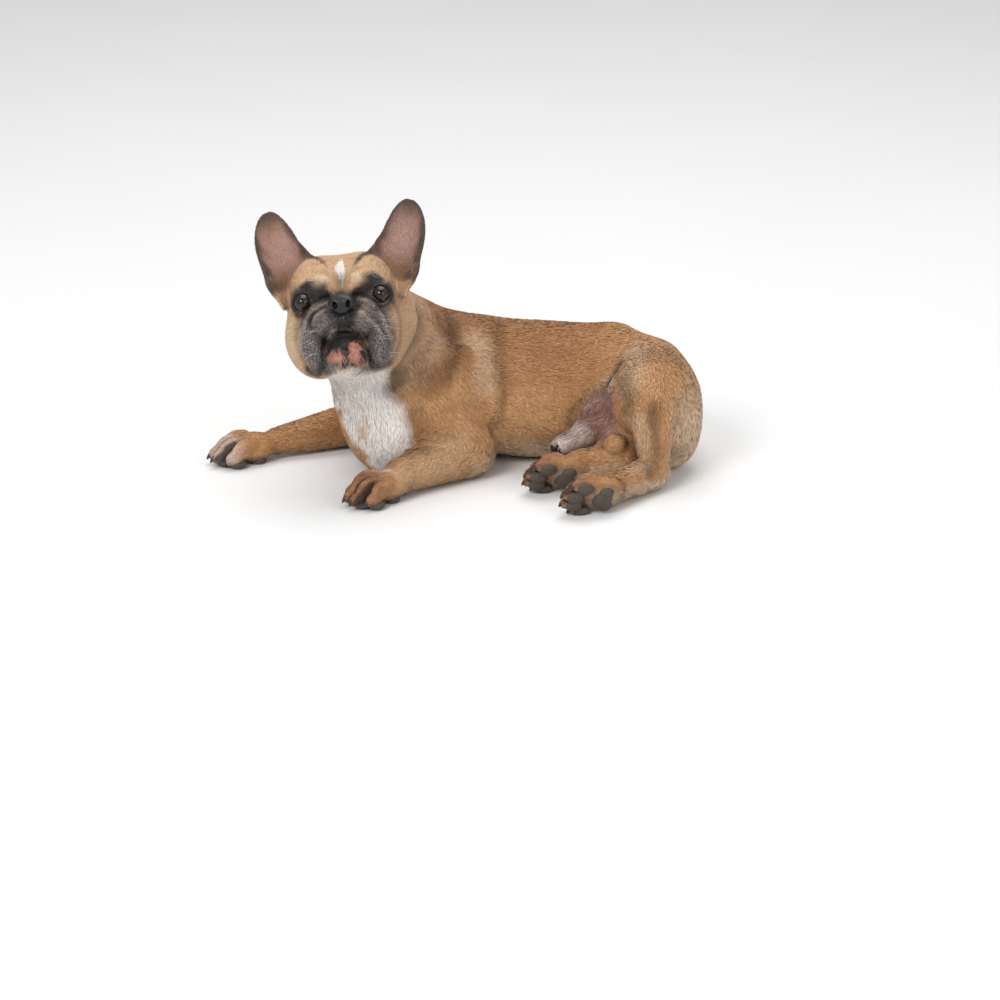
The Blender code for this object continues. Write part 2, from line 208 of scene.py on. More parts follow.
def bow(points: Sequence[Sequence[float]], steps: int = 10) -> Array:
    """Returns a smooth chain through the points, by the Catmull-Rom formula."""
    knots = np.asarray(points, float)
    knots = np.vstack([2 * knots[0] - knots[1], knots, 2 * knots[-1] - knots[-2]])
    t = np.linspace(0, 1, steps, endpoint=False)[:, None]
    spans = []
    for a, b, c, d in zip(knots[:-3], knots[1:-2], knots[2:-1], knots[3:]):
        spans.append(
            0.5 * (2 * b + (c - a) * t + (2 * a - 5 * b + 4 * c - d) * t**2 + (3 * b - a - 3 * c + d) * t**3)
        )
    return np.vstack([*spans, knots[-2:-1]])


# ------------------------------------------------------------------ the distance field


class Action(Enum):
    """What a step does with its volume."""

    JOIN = "join"
    CARVE = "carve"
    PRESS = "press"


@dataclass(frozen=True)
class Step:
    """One step of the sculpture. Amount is how deep a fold is pressed, and below zero it is raised."""

    action: Action
    volume: Volume
    softness: float
    amount: float = 0.0

    def margin(self) -> float:
        """Returns how far outside the volume's box the step still acts."""
        return self.softness * (2.2 if self.action is Action.PRESS else 1.0) + 0.004

    def act(self, values: Array, points: Array) -> Array:
        """Returns the field's values at the points, after the step."""
        distance = self.volume.distance(points)
        if self.action is Action.JOIN:
            return soft_min(values, distance, self.softness)
        if self.action is Action.CARVE:
            return -soft_min(-values, distance, self.softness)
        return values + self.amount * np.exp(-((distance / self.softness) ** 2))


class Sculpture:
    """A distance field made by steps, read on a grid or exactly at any points."""

    FAR = 0.03

    def __init__(self) -> None:
        """Starts with empty space."""
        self.steps: list[Step] = []
        self.creases: list[tuple[Array, float, float]] = []

    def join(self, volumes: Sequence[Volume], softness: float) -> None:
        """Adds volumes, each blended into what is there."""
        self.steps += [Step(Action.JOIN, volume, softness) for volume in volumes]

    def carve(self, volume: Volume, softness: float) -> None:
        """Takes a volume away, with a rounded edge."""
        self.steps.append(Step(Action.CARVE, volume, softness))

    def press(self, chain: Array, depth: float, width: float) -> None:
        """Presses a fold along a chain that is first laid on the surface, and keeps it as a crease."""
        laid = self.settle(chain)
        self.steps.append(Step(Action.PRESS, Fold(laid), width, depth))
        if depth > 0:
            self.creases.append((laid, depth, width))

    def crease_at(self, points: Array) -> Array:
        """Returns how deep in a pressed fold each point lies, 0 to 1, for the painted shade in the folds."""
        found = np.zeros(len(points))
        for chain, depth, width in self.creases:
            near = ((points > chain.min(0) - 3 * width) & (points < chain.max(0) + 3 * width)).all(1)
            if near.any():
                away = Fold(chain).distance(points[near]) / width
                found[near] = np.maximum(found[near], np.exp(-(away**2)) * min(1.0, depth / 0.004))
        return found

    def values_at(self, points: Array) -> Array:
        """Returns the field at points in a list."""
        values = np.full(len(points), self.FAR)
        for step in self.steps:
            low, high = step.volume.box()
            margin = step.margin()
            near = ((points > low - margin) & (points < high + margin)).all(1)
            if near.any():
                values[near] = step.act(values[near], points[near])
        return values

    def slope_at(self, points: Array, reach: float = 4e-4) -> Array:
        """Returns the field's gradient by central differences."""
        offsets = np.eye(3) * reach
        return np.stack(
            [(self.values_at(points + o) - self.values_at(points - o)) / (2 * reach) for o in offsets], 1
        )

    def settle(self, points: Array, rounds: int = 3) -> Array:
        """Returns the points moved down or up the gradient onto the surface."""
        points = np.array(points, float)
        for _ in range(rounds):
            slope = self.slope_at(points)
            size = np.maximum((slope**2).sum(1), 0.2)
            points -= np.clip(self.values_at(points) / size, -0.01, 0.01)[:, None] * slope
        return points

    def grid(self, low: Array, high: Array, step: float) -> tuple[Array, Array]:
        """Reads the field on a grid.

        Args:
            low: lowest corner.
            high: highest corner.
            step: spacing of the grid.

        Returns:
            The values, and the lowest corner.
        """
        count = np.ceil((np.asarray(high) - low) / step).astype(int) + 1
        axes = [low[i] + step * np.arange(count[i]) for i in range(3)]
        values = np.full(count, self.FAR, np.float32)
        for action in self.steps:
            box_low, box_high = action.volume.box()
            margin = action.margin()
            first = np.clip(np.floor((box_low - margin - low) / step).astype(int), 0, count)
            last = np.clip(np.ceil((box_high + margin - low) / step).astype(int) + 1, 0, count)
            if (last <= first).any():
                continue
            block = tuple(slice(a, b) for a, b in zip(first, last))
            mesh = np.meshgrid(*[axes[i][block[i]] for i in range(3)], indexing="ij")
            values[block] = action.act(values[block], np.stack(mesh, -1))
        return values, np.asarray(low, float)


def net_surface(values: Array, low: Array, step: float) -> tuple[Array, Array]:
    """Wraps a surface round the negative cells of a grid, by surface nets.

    Each cell that the surface crosses gets one vertex, the mean of the crossings on its
    edges. Each grid edge that it crosses gets one quad between its four cells.

    Args:
        values: the field on the grid.
        low: the grid's lowest corner.
        step: its spacing.

    Returns:
        The vertices, and the quads facing outwards.
    """
    inside = values < 0
    cells = np.array(values.shape) - 1
    corners = [(i, j, k) for i in (0, 1) for j in (0, 1) for k in (0, 1)]
    count = np.zeros(cells, np.int8)
    for i, j, k in corners:
        count += inside[i : i + cells[0], j : j + cells[1], k : k + cells[2]]
    crossed = (count > 0) & (count < 8)
    where = np.argwhere(crossed)
    index = np.full(cells, -1, np.int64)
    index[crossed] = np.arange(len(where))
    total, hits = np.zeros((len(where), 3)), np.zeros(len(where))
    for start in corners:
        for axis in range(3):
            if start[axis]:
                continue
            end = list(start)
            end[axis] = 1
            here = values[tuple((where + start).T)].astype(float)
            there = values[tuple((where + end).T)].astype(float)
            cut = (here < 0) != (there < 0)
            crossing = np.tile(np.array(start, float), (len(where), 1))
            crossing[:, axis] += np.where(cut, here / np.where(cut, here - there, 1.0), 0.0)
            total += crossing * cut[:, None]
            hits += cut
    vertices = (where + total / hits[:, None]) * step + low
    quads = []
    for axis in range(3):
        b, c = (axis + 1) % 3, (axis + 2) % 3
        first = np.moveaxis(inside, axis, 0)[:-1]
        second = np.moveaxis(inside, axis, 0)[1:]
        edges = np.argwhere(np.moveaxis(first != second, 0, axis))
        keep = (edges[:, b] > 0) & (edges[:, c] > 0) & (edges[:, b] < cells[b]) & (edges[:, c] < cells[c])
        edges = edges[keep]
        ring = []
        for db, dc in ((-1, -1), (0, -1), (0, 0), (-1, 0)):
            cell = edges.copy()
            cell[:, b] += db
            cell[:, c] += dc
            ring.append(index[tuple(cell.T)])
        quad = np.stack(ring, 1)
        quads.append(np.where(inside[tuple(edges.T)][:, None], quad, quad[:, ::-1]))
    return vertices, np.concatenate(quads)


def read_grid(values: Array, low: Array, step: float, points: Array) -> Array:
    """Returns the field at points, mixed evenly from the eight nearest grid values."""
    place = (points - low) / step
    base = np.clip(np.floor(place).astype(int), 0, np.array(values.shape) - 2)
    part = place - base
    total = np.zeros(len(points))
    for i in (0, 1):
        for j in (0, 1):
            for k in (0, 1):
                share = np.prod(np.where([i, j, k], part, 1 - part), axis=1)
                total += share * values[base[:, 0] + i, base[:, 1] + j, base[:, 2] + k]
    return total


# ------------------------------------------------------------------ the body in numbers


@dataclass(frozen=True)
class Ground:
    """Everything below the floor."""

    def box(self) -> tuple[Array, Array]:
        """Returns a box far wider than the dog."""
        return np.array([-1.0, -1.0, -0.05]), np.array([1.0, 1.0, 0.004])

    def distance(self, points: Array) -> Array:
        """Returns the height over the floor."""
        return points[..., 2]


@dataclass(frozen=True)
class Skull:
    """Where the head is and how it is turned. Places on it are forward, left and up of its middle."""

    centre: Point = (-0.133, -0.095, 0.214)
    yaw: float = -0.5
    pitch: float = 19.0
    roll: float = 6.0

    @property
    def turn(self) -> Array:
        """Returns the rotation from the head's axes to the body's."""
        yaw, pitch = math.radians(self.yaw), math.radians(self.pitch)
        level = math.cos(pitch)
        forward = np.array([-math.sin(yaw) * level, -math.cos(yaw) * level, math.sin(pitch)])
        return spin(forward, self.roll) @ turned(forward)

    def place(self, local: Array | Sequence[float]) -> Array:
        """Returns places on the head as points of the body's space."""
        return np.asarray(self.centre) + np.asarray(local, float) @ self.turn.T

    def local(self, points: Array) -> Array:
        """Returns points of the body's space as places on the head."""
        return (points - np.asarray(self.centre)) @ self.turn


SKULL = Skull()
EYE_PLACE = (0.0465, 0.0468, 0.019)
NOSE_PLACE = (0.077, 0.0, 0.0125)
CHIN_PLACE = (0.054, 0.0, -0.047)
EYE_RADIUS = 0.0112
FACE_FRONT = 0.115  # ahead of every point of the face


def eye_point(side: int, ahead: float = 0.0, up: float = 0.0) -> Array:
    """Returns the middle of the eye on a side, or a place ahead of it or over it."""
    return SKULL.place((EYE_PLACE[0] + ahead, side * EYE_PLACE[1], EYE_PLACE[2] + up))


def dropped(flesh: Sculpture, points: Array, rounds: int = 40) -> Array:
    """Returns points in front of the face brought back onto it, by most of their distance a round."""
    for _ in range(rounds):
        step = np.clip(flesh.values_at(points), -0.004, 0.02) * 0.8
        points = points - step[:, None] * SKULL.turn[:, 0]
    return points


@dataclass(frozen=True)
class EarSheet:
    """An ear: a cupped sheet with a rounded tip and a round edge.

    Its height over the sheet is compared with half its thickness, and its distance from the
    outline, measured in the flat, rounds the edge.
    """

    side: int
    root_place: float
    lean: float
    length: float = 0.106
    thin: float = 0.0015
    thick: float = 0.003
    cup: float = 0.022
    cup_width: float = 0.028  # how far out the cup is as high as it is deep
    cup_reach: float = 0.036  # how far out it stops rising

    def axes(self) -> Array:
        """Returns the rotation whose columns run up the ear, outwards across it, and to its front."""
        up = unit([-0.06, self.side * self.lean, 0.9])
        front = np.array([0.9, self.side * -0.12, 0.0])
        front = unit(front - up * (front @ up))
        outward = np.cross(up, front)
        outward = outward if outward[1] * self.side > 0 else -outward
        return SKULL.turn @ np.stack([up, outward, front], 1)

    def root(self) -> Array:
        """Returns where the ear grows from the head."""
        return SKULL.place((-0.01, self.side * self.root_place, 0.034))

    def edges(self, along: Array) -> tuple[Array, Array]:
        """Returns how far the inner and the outer edge lie from the middle line, root 0 to tip 1."""
        rounded = np.sqrt(np.clip(1 - np.clip((along - 0.28) / 0.725, 0, 1) ** 2.3, 0, 1))
        inner = 0.0268 * rounded + 0.012 * np.clip(1 - along / 0.55, 0, 1)
        outer = 0.0303 * rounded + 0.006 * np.exp(-(((along - 0.14) / 0.16) ** 2))
        return inner, outer

    def drift(self, along: Array) -> Array:
        """Returns how far the middle line bows outwards."""
        return 0.004 * np.sin(np.clip(along, 0, 1) * math.pi)

    def depth(self, along: Array) -> Array:
        """Returns how deep the cup is, which lessens towards the tip."""
        return self.cup * (1 - 0.8 * np.clip(along, 0, 1))

    def outline(self) -> Array:
        """Returns the ear's outline in the flat, as along and sideways in metres."""
        along = np.r_[np.linspace(-0.14, 0.9, 26), np.linspace(0.92, 1.0, 9)]
        inner, outer = self.edges(along)
        drift = self.drift(along)
        down = np.stack([along * self.length, drift - inner], 1)
        back = np.stack([along * self.length, drift + outer], 1)[::-1]
        return np.vstack([down, back])

    def sheet_height(self, along: Array, sideways: Array) -> Array:
        """Returns how far the sheet stands to the front: a cup that fades towards the tip, and a lean."""
        reach = np.clip(sideways, -self.cup_reach, self.cup_reach)
        return self.depth(along) * (reach / self.cup_width) ** 2 - 0.008 * np.sin(np.clip(along, 0, 1) * 1.4)

    def local(self, points: Array) -> Array:
        """Returns points as metres up the ear, sideways, and to the front of the sheet."""
        rel = (points - self.root()) @ self.axes()
        rel[..., 2] -= self.sheet_height(rel[..., 0] / self.length, rel[..., 1])
        return rel

    def box(self) -> tuple[Array, Array]:
        """Returns the box of the corners of the ear's own box."""
        corners = np.stack(np.meshgrid((-0.018, 0.112), (-0.044, 0.045), (-0.014, 0.042)), -1)
        points = self.root() + corners.reshape(-1, 3) @ self.axes().T
        return points.min(0), points.max(0)

    def distance(self, points: Array) -> Array:
        """Returns the distance from a plate with rounded edges."""
        local = self.local(points)
        along, sideways, height = local[..., 0], local[..., 1], local[..., 2]
        reach = np.clip(sideways, -self.cup_reach, self.cup_reach)
        slope = 2 * self.depth(along / self.length) * reach / self.cup_width**2
        height = np.abs(height) / np.sqrt(1 + slope**2)
        half = self.thin + (self.thick - self.thin) * np.clip(1 - along / (0.55 * self.length), 0, 1)
        ring = self.outline()
        flat = np.stack([along, sideways], -1)
        best = np.full(along.shape, np.inf)
        inside = np.zeros(along.shape, bool)
        for start, end in zip(ring, np.roll(ring, -1, 0)):
            edge = end - start
            rel = flat - start
            t = np.clip(rel @ edge / max(edge @ edge, 1e-12), 0, 1)
            best = np.minimum(best, ((rel - t[..., None] * edge) ** 2).sum(-1))
            spans = (start[0] > along) != (end[0] > along)
            cross = start[1] + rel[..., 0] * edge[1] / (edge[0] if edge[0] else 1e-12)
            inside ^= spans & (sideways < cross)
        rim = np.where(inside, -np.sqrt(best), np.sqrt(best)) + half
        return np.hypot(np.maximum(rim, 0), height) - half


@dataclass(frozen=True)
class Foot:
    """A foot of four toes: its middle, where its toes point, the way its back faces, its scale."""

    name: str
    centre: Point
    forward: Point
    up: Point
    scale: float

    TOES = ((0.008, 0.0185, 9.0), (0.02, 0.0065, 3.0), (0.02, -0.0065, -3.0), (0.008, -0.0185, -9.0))

    @property
    def turn(self) -> Array:
        """Returns the rotation from the foot's axes to the body's."""
        return turned(self.forward, self.up)

    def place(self, *local: float) -> Array:
        """Returns a place on the foot as a point of the body's space."""
        return np.asarray(self.centre) + self.turn @ (np.asarray(local) * self.scale)

    def away(self, points: Array) -> Array:
        """Returns how far points are from the foot's middle."""
        return np.linalg.norm(points - np.asarray(self.centre), axis=1)

    def ball(self, place: Point, radii: Point, splay: float = 0.0, droop: float = 0.0) -> Ellipsoid:
        """Returns an ellipsoid on the foot, turned about its up axis and then about its left one."""
        lean = spin((0, 0, 1), splay) @ spin((0, 1, 0), droop)
        inner = [radius * self.scale - FOOT_COAT for radius in radii]
        return Ellipsoid(self.place(*place), inner, self.turn @ lean)

    def palm(self) -> list[Volume]:
        """Returns the body of the foot."""
        return [self.ball((-0.01, 0.0, 0.0), (0.028, 0.0225, 0.0175))]

    def toes(self) -> list[Volume]:
        """Returns the knuckle and the tip of each toe."""
        found: list[Volume] = []
        for ahead, left, splay in self.TOES:
            found.append(self.ball((ahead - 0.004, left * 0.95, 0.0042), (0.019, 0.008, 0.0128), splay, 18.0))
            found.append(self.ball((ahead + 0.01, left * 1.05, -0.006), (0.0125, 0.0075, 0.0098), splay))
        return found

    def pads(self) -> list[Ellipsoid]:
        """Returns the pad under each toe and the three lobes of the pad behind them."""
        found = [
            self.ball((ahead + 0.006, left * 1.05, -0.0125), (0.0116, 0.0092, 0.0064), splay)
            for ahead, left, splay in self.TOES
        ]
        found.append(self.ball((-0.009, 0.0, -0.0145), (0.0135, 0.0125, 0.0075)))
        for side in (1, -1):
            found.append(self.ball((-0.014, side * 0.01, -0.014), (0.0105, 0.0085, 0.007)))
        return found


FEET = (
    Foot("forepaw_left", (-0.093, -0.168, 0.0192), (-0.8, -0.6, 0.0), (0.0, 0.0, 1.0), 1.04),
    Foot("forepaw_right", (-0.263, -0.021, 0.019), (-0.93, -0.36, 0.0), (0.0, 0.0, 1.0), 1.04),
    Foot("hind_foot_left", (0.165, -0.203, 0.0245), (-1.0, -0.3, 0.0), (0.2, 0.9, 0.35), 0.96),
    Foot("hind_foot_right", (0.122, -0.128, 0.0247), (-0.95, -0.25, 0.0), (0.15, 0.85, 0.45), 0.96),
)
EARS = (EarSheet(1, 0.055, 0.345), EarSheet(-1, 0.05, 0.275))


def fleshy(centre: Point, radii: Point, turn: Array | None = None, coat: float = BODY_COAT) -> Ellipsoid:
    """Returns an ellipsoid of flesh, less the depth of the coat."""
    return Ellipsoid(centre, [radius - coat for radius in radii], np.eye(3) if turn is None else turn)


def limb(start: Point, end: Point, first: float, last: float, coat: float = BODY_COAT) -> RoundLimb:
    """Returns a round limb, less the depth of the coat."""
    return RoundLimb(start, end, first - coat, last - coat)


# Folds of the neck, shoulder, elbow, flank and haunch: places, depth and width. Below zero is a ridge.
NECK_FOLD = ((-0.044, -0.063, 0.214), (-0.038, -0.076, 0.196), (-0.051, -0.096, 0.17))
ELBOW_FOLD = ((0.058, -0.064, 0.112), (0.055, -0.071, 0.083), (0.051, -0.071, 0.06))
FLANK_FOLD = ((0.199, -0.042, 0.138), (0.183, -0.057, 0.116), (0.168, -0.059, 0.105), (0.157, -0.061, 0.089))
BODY_FOLDS = (
    ((*NECK_FOLD, (-0.066, -0.108, 0.147), (-0.074, -0.116, 0.128)), 0.0055, 0.0065),
    (((-0.026, -0.054, 0.2), (-0.021, -0.07, 0.178), (-0.036, -0.098, 0.15)), -0.004, 0.011),
    (((-0.006, -0.02, 0.19), (-0.003, -0.052, 0.168), (-0.01, -0.085, 0.138)), 0.0035, 0.009),
    (((0.02, -0.006, 0.176), (0.027, -0.039, 0.16), (0.032, -0.068, 0.13)), -0.0035, 0.012),
    (((0.046, 0.004, 0.168), (0.05, -0.03, 0.156), (0.056, -0.06, 0.125)), 0.0025, 0.01),
    ((*ELBOW_FOLD, (0.05, -0.071, 0.04)), 0.0045, 0.005),
    ((*FLANK_FOLD, (0.142, -0.066, 0.07), (0.122, -0.078, 0.053)), 0.0035, 0.0055),
    (((0.183, -0.06, 0.12), (0.19, -0.07, 0.105), (0.196, -0.085, 0.085)), -0.003, 0.01),
)
# Folds over the forearm, behind the ham and at the hock.
HAM_FOLD = ((0.242, -0.132, 0.117), (0.237, -0.143, 0.09), (0.246, -0.146, 0.059), (0.244, -0.153, 0.038))
LEG_FOLDS = (
    (((-0.034, -0.13, 0.076), (-0.018, -0.126, 0.073), (0.004, -0.118, 0.067)), 0.003, 0.0032),
    (HAM_FOLD, 0.003, 0.008),
    (((0.205, -0.16, 0.04), (0.212, -0.15, 0.046), (0.222, -0.14, 0.05)), 0.0014, 0.0022),
)


@dataclass(frozen=True)
class Torso:
    """Rib cage, belly, loin, pelvis, rump, breast, neck and tail."""

    blend: float = 0.014

    def add_to(self, flesh: Sculpture) -> None:
        """Joins the torso's volumes into the sculpture."""
        breast = turned((-0.766, -0.643, 0.1))
        flesh.join(
            [
                fleshy((0.0, 0.01, 0.088), (0.121, 0.087, 0.09), turned((0.86, 0.45, 0.0))),
                fleshy((0.1, 0.022, 0.08), (0.129, 0.087, 0.083), turned((1.0, 0.12, 0.0))),
                fleshy((0.18, 0.02, 0.08), (0.094, 0.075, 0.08), turned((1.0, -0.2, 0.0))),
                fleshy((0.233, -0.008, 0.081), (0.062, 0.058, 0.076)),
                fleshy((0.262, -0.04, 0.05), (0.041, 0.045, 0.051)),
                limb((-0.02, 0.01, 0.136), (0.195, 0.017, 0.128), 0.045, 0.037),
                limb((0.195, 0.017, 0.128), (0.236, 0.004, 0.108), 0.037, 0.046),
                fleshy((-0.084, -0.047, 0.094), (0.06, 0.072, 0.072), breast),
                fleshy((-0.075, -0.054, 0.058), (0.061, 0.061, 0.06), breast),
                limb((-0.035, 0.002, 0.12), (-0.114, -0.047, 0.19), 0.073, 0.062),
                limb((-0.095, -0.05, 0.12), (-0.118, -0.08, 0.172), 0.059, 0.051),
                fleshy((-0.078, -0.07, 0.195), (0.035, 0.043, 0.049)),
            ],
            self.blend,
        )
        flesh.join([limb((0.262, 0.03, 0.08), (0.29, 0.042, 0.058), 0.018, 0.011)], 0.008)

    def fold(self, flesh: Sculpture) -> None:
        """Presses the folds of the neck, shoulder and flank, and the three creases under the rump."""
        for places, depth, width in BODY_FOLDS:
            flesh.press(bow(places), depth, width)
        for drop in (0.0, 0.009, 0.018):
            crease = [
                (0.256, -0.118, 0.05 - drop), (0.27, -0.091, 0.044 - drop), (0.284, -0.07, 0.046 - drop)
            ]
            flesh.press(bow(crease), 0.0022, 0.0028)


@dataclass(frozen=True)
class Legs:
    """The four legs and their feet."""

    def add_to(self, flesh: Sculpture) -> None:
        """Joins the legs from the trunk outwards, then the feet, toes and pads."""
        lean = turned((-0.8, -0.4, -0.3))
        flesh.join([fleshy((0.247, -0.06, 0.096), (0.06, 0.053, 0.056), turned((-0.4, -0.9, 0.1)))], 0.03)
        flesh.join(
            [
                fleshy((-0.01, -0.06, 0.105), (0.05, 0.034, 0.07), lean),
                limb((-0.035, -0.086, 0.088), (0.016, -0.072, 0.036), 0.038, 0.034),
                fleshy((-0.082, 0.028, 0.105), (0.05, 0.034, 0.068), lean),
                limb((-0.094, 0.04, 0.088), (-0.088, 0.068, 0.038), 0.04, 0.036),
                limb((0.215, -0.03, 0.05), (0.2, -0.085, 0.03), 0.05, 0.03),
                limb((0.243, -0.104, 0.092), (0.242, -0.12, 0.036), 0.033, 0.0205),
            ],
            0.012,
        )
        flesh.join(
            [
                limb((0.016, -0.07, 0.03), (-0.062, -0.14, 0.026), 0.033, 0.023),
                limb((-0.088, 0.066, 0.031), (-0.22, 0.001, 0.021), 0.033, 0.018),
                limb((0.242, -0.122, 0.022), (0.184, -0.186, 0.022), 0.0215, 0.0185),
                limb((0.2, -0.09, 0.026), (0.15, -0.108, 0.025), 0.025, 0.02),
                limb((0.172, -0.048, 0.052), (0.127, -0.078, 0.041), 0.0165, 0.0112, 0.0008),
                fleshy((0.196, -0.104, 0.052), (0.013, 0.014, 0.013), None, 0.0008),
            ],
            0.006,
        )
        for foot in FEET:
            flesh.join(foot.palm(), 0.014)
            flesh.join(foot.toes(), 0.0026)
            flesh.join(foot.pads(), 0.0008)

    def fold(self, flesh: Sculpture) -> None:
        """Presses the folds over the forearm, behind the ham and at the hock."""
        for places, depth, width in LEG_FOLDS:
            flesh.press(bow(places), depth, width)


# The folds of the face: (left, up) places in millimetres seen from in front, depth and width.
MOUTH = (
    (-30, -60), (-30, -48), (-28, -34), (-22, -22), (-14, -15), (-2, -14), (9, -16), (16, -25), (22, -36)
)
RIDGES = (
    ((-15, 16), (-28, 12), (-37, 6), (-44, -3), (-48, -14), (-50, -27)),
    ((18, 14), (29, 11), (39, 2), (45, -9), (49, -21), (53, -33)),
)
LIP_EDGES = (
    ((-14, 6), (-22, 5), (-29, 1), (-35, -7)),
    ((14, 3), (22, 0), (29, -9), (37, -18), (42, -25)),
)
FACE_FOLDS = (
    ((*MOUTH, (26, -49), (29, -60), (34, -66)), 0.0072, 0.003),
    (((-12, 10), (-23, 9), (-32, 4), (-39, -4), (-43, -13)), 0.0046, 0.0024),
    (((15, 8), (25, 4), (33, -5), (40, -15), (45, -24), (50, -36)), 0.0046, 0.0024),
    (((-13, 22), (-25, 19), (-37, 13), (-45, 5), (-50, -7)), 0.0042, 0.0028),
    (((16, 20), (27, 18), (38, 9), (46, -2), (51, -14), (55, -29)), 0.0042, 0.0028),
    (RIDGES[0], -0.0042, 0.0034),
    (RIDGES[1], -0.0042, 0.0034),
    (LIP_EDGES[0], -0.0024, 0.003),
    (LIP_EDGES[1], -0.0024, 0.003),
    (((-2, 2), (-3, -5), (-3, -12)), 0.0034, 0.0015),
    (((-15, -20), (-8, -18), (-1, -18), (7, -20), (14, -26)), -0.0032, 0.0028),
    (((-1, -40), (-1, -49), (-4, -57)), 0.0018, 0.0022),
    (((-13, -42), (-13, -56)), -0.0012, 0.006),
    (((9, -38), (10, -55)), -0.0014, 0.006),
    (((-52, -36), (-45, -35), (-38, -35)), 0.0012, 0.0016),
    (((1, 40), (1, 28)), 0.004, 0.009),
    (((-28, 62), (-14, 66)), 0.0016, 0.0022),
    (((14, 66), (26, 64)), 0.0014, 0.0022),
    (((-20, 52), (-10, 46), (-6, 36)), 0.0016, 0.0034),
    (((22, 52), (12, 46), (8, 36)), 0.0016, 0.0034),
    (((60, 10), (66, -12), (64, -38), (52, -60)), 0.0024, 0.005),
    (((-55, 2), (-59, -16), (-57, -38), (-48, -56)), 0.0018, 0.005),
)


@dataclass(frozen=True)
class Head:
    """Skull, cheeks, brows, muzzle, hanging lips, chin and eyelids, then the folds of the face."""

    def single(self, place: Point, radii: Point) -> Ellipsoid:
        """Returns a volume on the middle line."""
        return fleshy(SKULL.place(place), radii, SKULL.turn, HEAD_COAT)

    def pair(self, place: Point, radii: Point, tilt: float = 0.0) -> list[Volume]:
        """Returns a volume on each side, tilted about the forward axis."""
        found: list[Volume] = []
        for side in SIDES.values():
            turn = SKULL.turn @ spin((1, 0, 0), side * tilt)
            found.append(fleshy(SKULL.place((place[0], side * place[1], place[2])), radii, turn, HEAD_COAT))
        return found

    def add_to(self, flesh: Sculpture) -> None:
        """Joins the head's volumes, the large ones with softer creases than the small."""
        flesh.join([self.single((-0.012, 0.0, 0.0185), (0.066, 0.066, 0.056))], 0.012)
        flesh.join(self.pair((-0.012, 0.028, 0.022), (0.05, 0.036, 0.0525)), 0.012)
        flesh.join(self.pair((-0.002, 0.034, -0.024), (0.052, 0.041, 0.05)), 0.012)
        flesh.join(self.pair((0.026, 0.024, 0.024), (0.03, 0.032, 0.026)), 0.01)
        flesh.join([self.single((0.05, 0.0, -0.01), (0.034, 0.04, 0.026))], 0.006)
        flesh.join([self.single(CHIN_PLACE, (0.033, 0.029, 0.029))], 0.003)
        flesh.join(self.pair((0.05, 0.04, -0.0355), (0.03, 0.015, 0.0345), -8.0), 0.005)
        flesh.join(self.pair((0.064, 0.018, -0.012), (0.02, 0.02, 0.016)), 0.005)
        flesh.join(self.pair((0.0435, 0.0463, 0.019), (0.0155, 0.0165, 0.0158)), 0.005)
        flesh.join(list(EARS), 0.006)
        for ear in EARS:
            pocket = ear.root() + ear.axes() @ np.array([0.016, 0.032, 0.0235])
            flesh.join([Ellipsoid(pocket, (0.013, 0.004, 0.007), ear.axes())], 0.003)

    def face_line(self, flesh: Sculpture, places: Sequence[tuple[float, float]]) -> Array:
        """Drops a line of (left, up) places onto the face, from in front.

        Args:
            flesh: what it lands on.
            places: the line's points in millimetres.

        Returns:
            The smooth chain, each point moved back by its distance until it touches.
        """
        flat = bow([(0.0, left / 1000, up / 1000) for left, up in places])
        flat[:, 0] = FACE_FRONT
        return dropped(flesh, SKULL.place(flat))

    def fold(self, flesh: Sculpture) -> None:
        """Presses the folds of the face, opens the eyelids and makes room for the nose."""
        for places, depth, width in FACE_FOLDS:
            flesh.press(self.face_line(flesh, places), depth, width)
        nose = Ellipsoid(SKULL.place(NOSE_PLACE), (0.0122, 0.0166, 0.0117), SKULL.turn)
        flesh.carve(nose, 0.001)
        for side in SIDES.values():
            slant = SKULL.turn @ spin((1, 0, 0), side * -20)
            flesh.carve(Ellipsoid(eye_point(side, 0.0125, -0.0002), (0.0085, 0.011, 0.0077), slant), 0.0016)
            flesh.carve(Ellipsoid(eye_point(side), (EYE_RADIUS,) * 3), 0.0008)
            rim = np.linspace(0, 2 * math.pi, 25)[:, None]
            across, up = side * EYE_PLACE[1] + 0.0158 * np.cos(rim), 0.0185 + 0.0128 * np.sin(rim)
            flesh.press(SKULL.place(np.hstack([np.full_like(rim, 0.056), across, up])), 0.0014, 0.0016)


def sculpted() -> Sculpture:
    """Returns the whole body's field."""
    flesh = Sculpture()
    torso, legs, head = Torso(), Legs(), Head()
    torso.add_to(flesh)
    legs.add_to(flesh)
    head.add_to(flesh)
    torso.fold(flesh)
    legs.fold(flesh)
    head.fold(flesh)
    flesh.carve(Ground(), 0.0)
    return flesh


# ------------------------------------------------------------------ markings


def blot(
    across: Array, up: Array, centre: tuple[float, float], radii: tuple[float, float], soft: float = 0.3
) -> Array:
    """Returns 1 inside an upright ellipse and 0 outside, softened by a share of its radius."""
    reach = np.hypot((across - centre[0] / 1000) / radii[0] * 1000, (up - centre[1] / 1000) / radii[1] * 1000)
    return ease(1 - reach, -soft, soft)


def along_chain(points: Array, chain: Sequence[Sequence[float]], radius: float, soft: float) -> Array:
    """Returns 1 within a radius of a chain of points, and 0 past it."""
    return ease(radius - Fold(np.asarray(chain, float)).distance(points), -soft, soft)


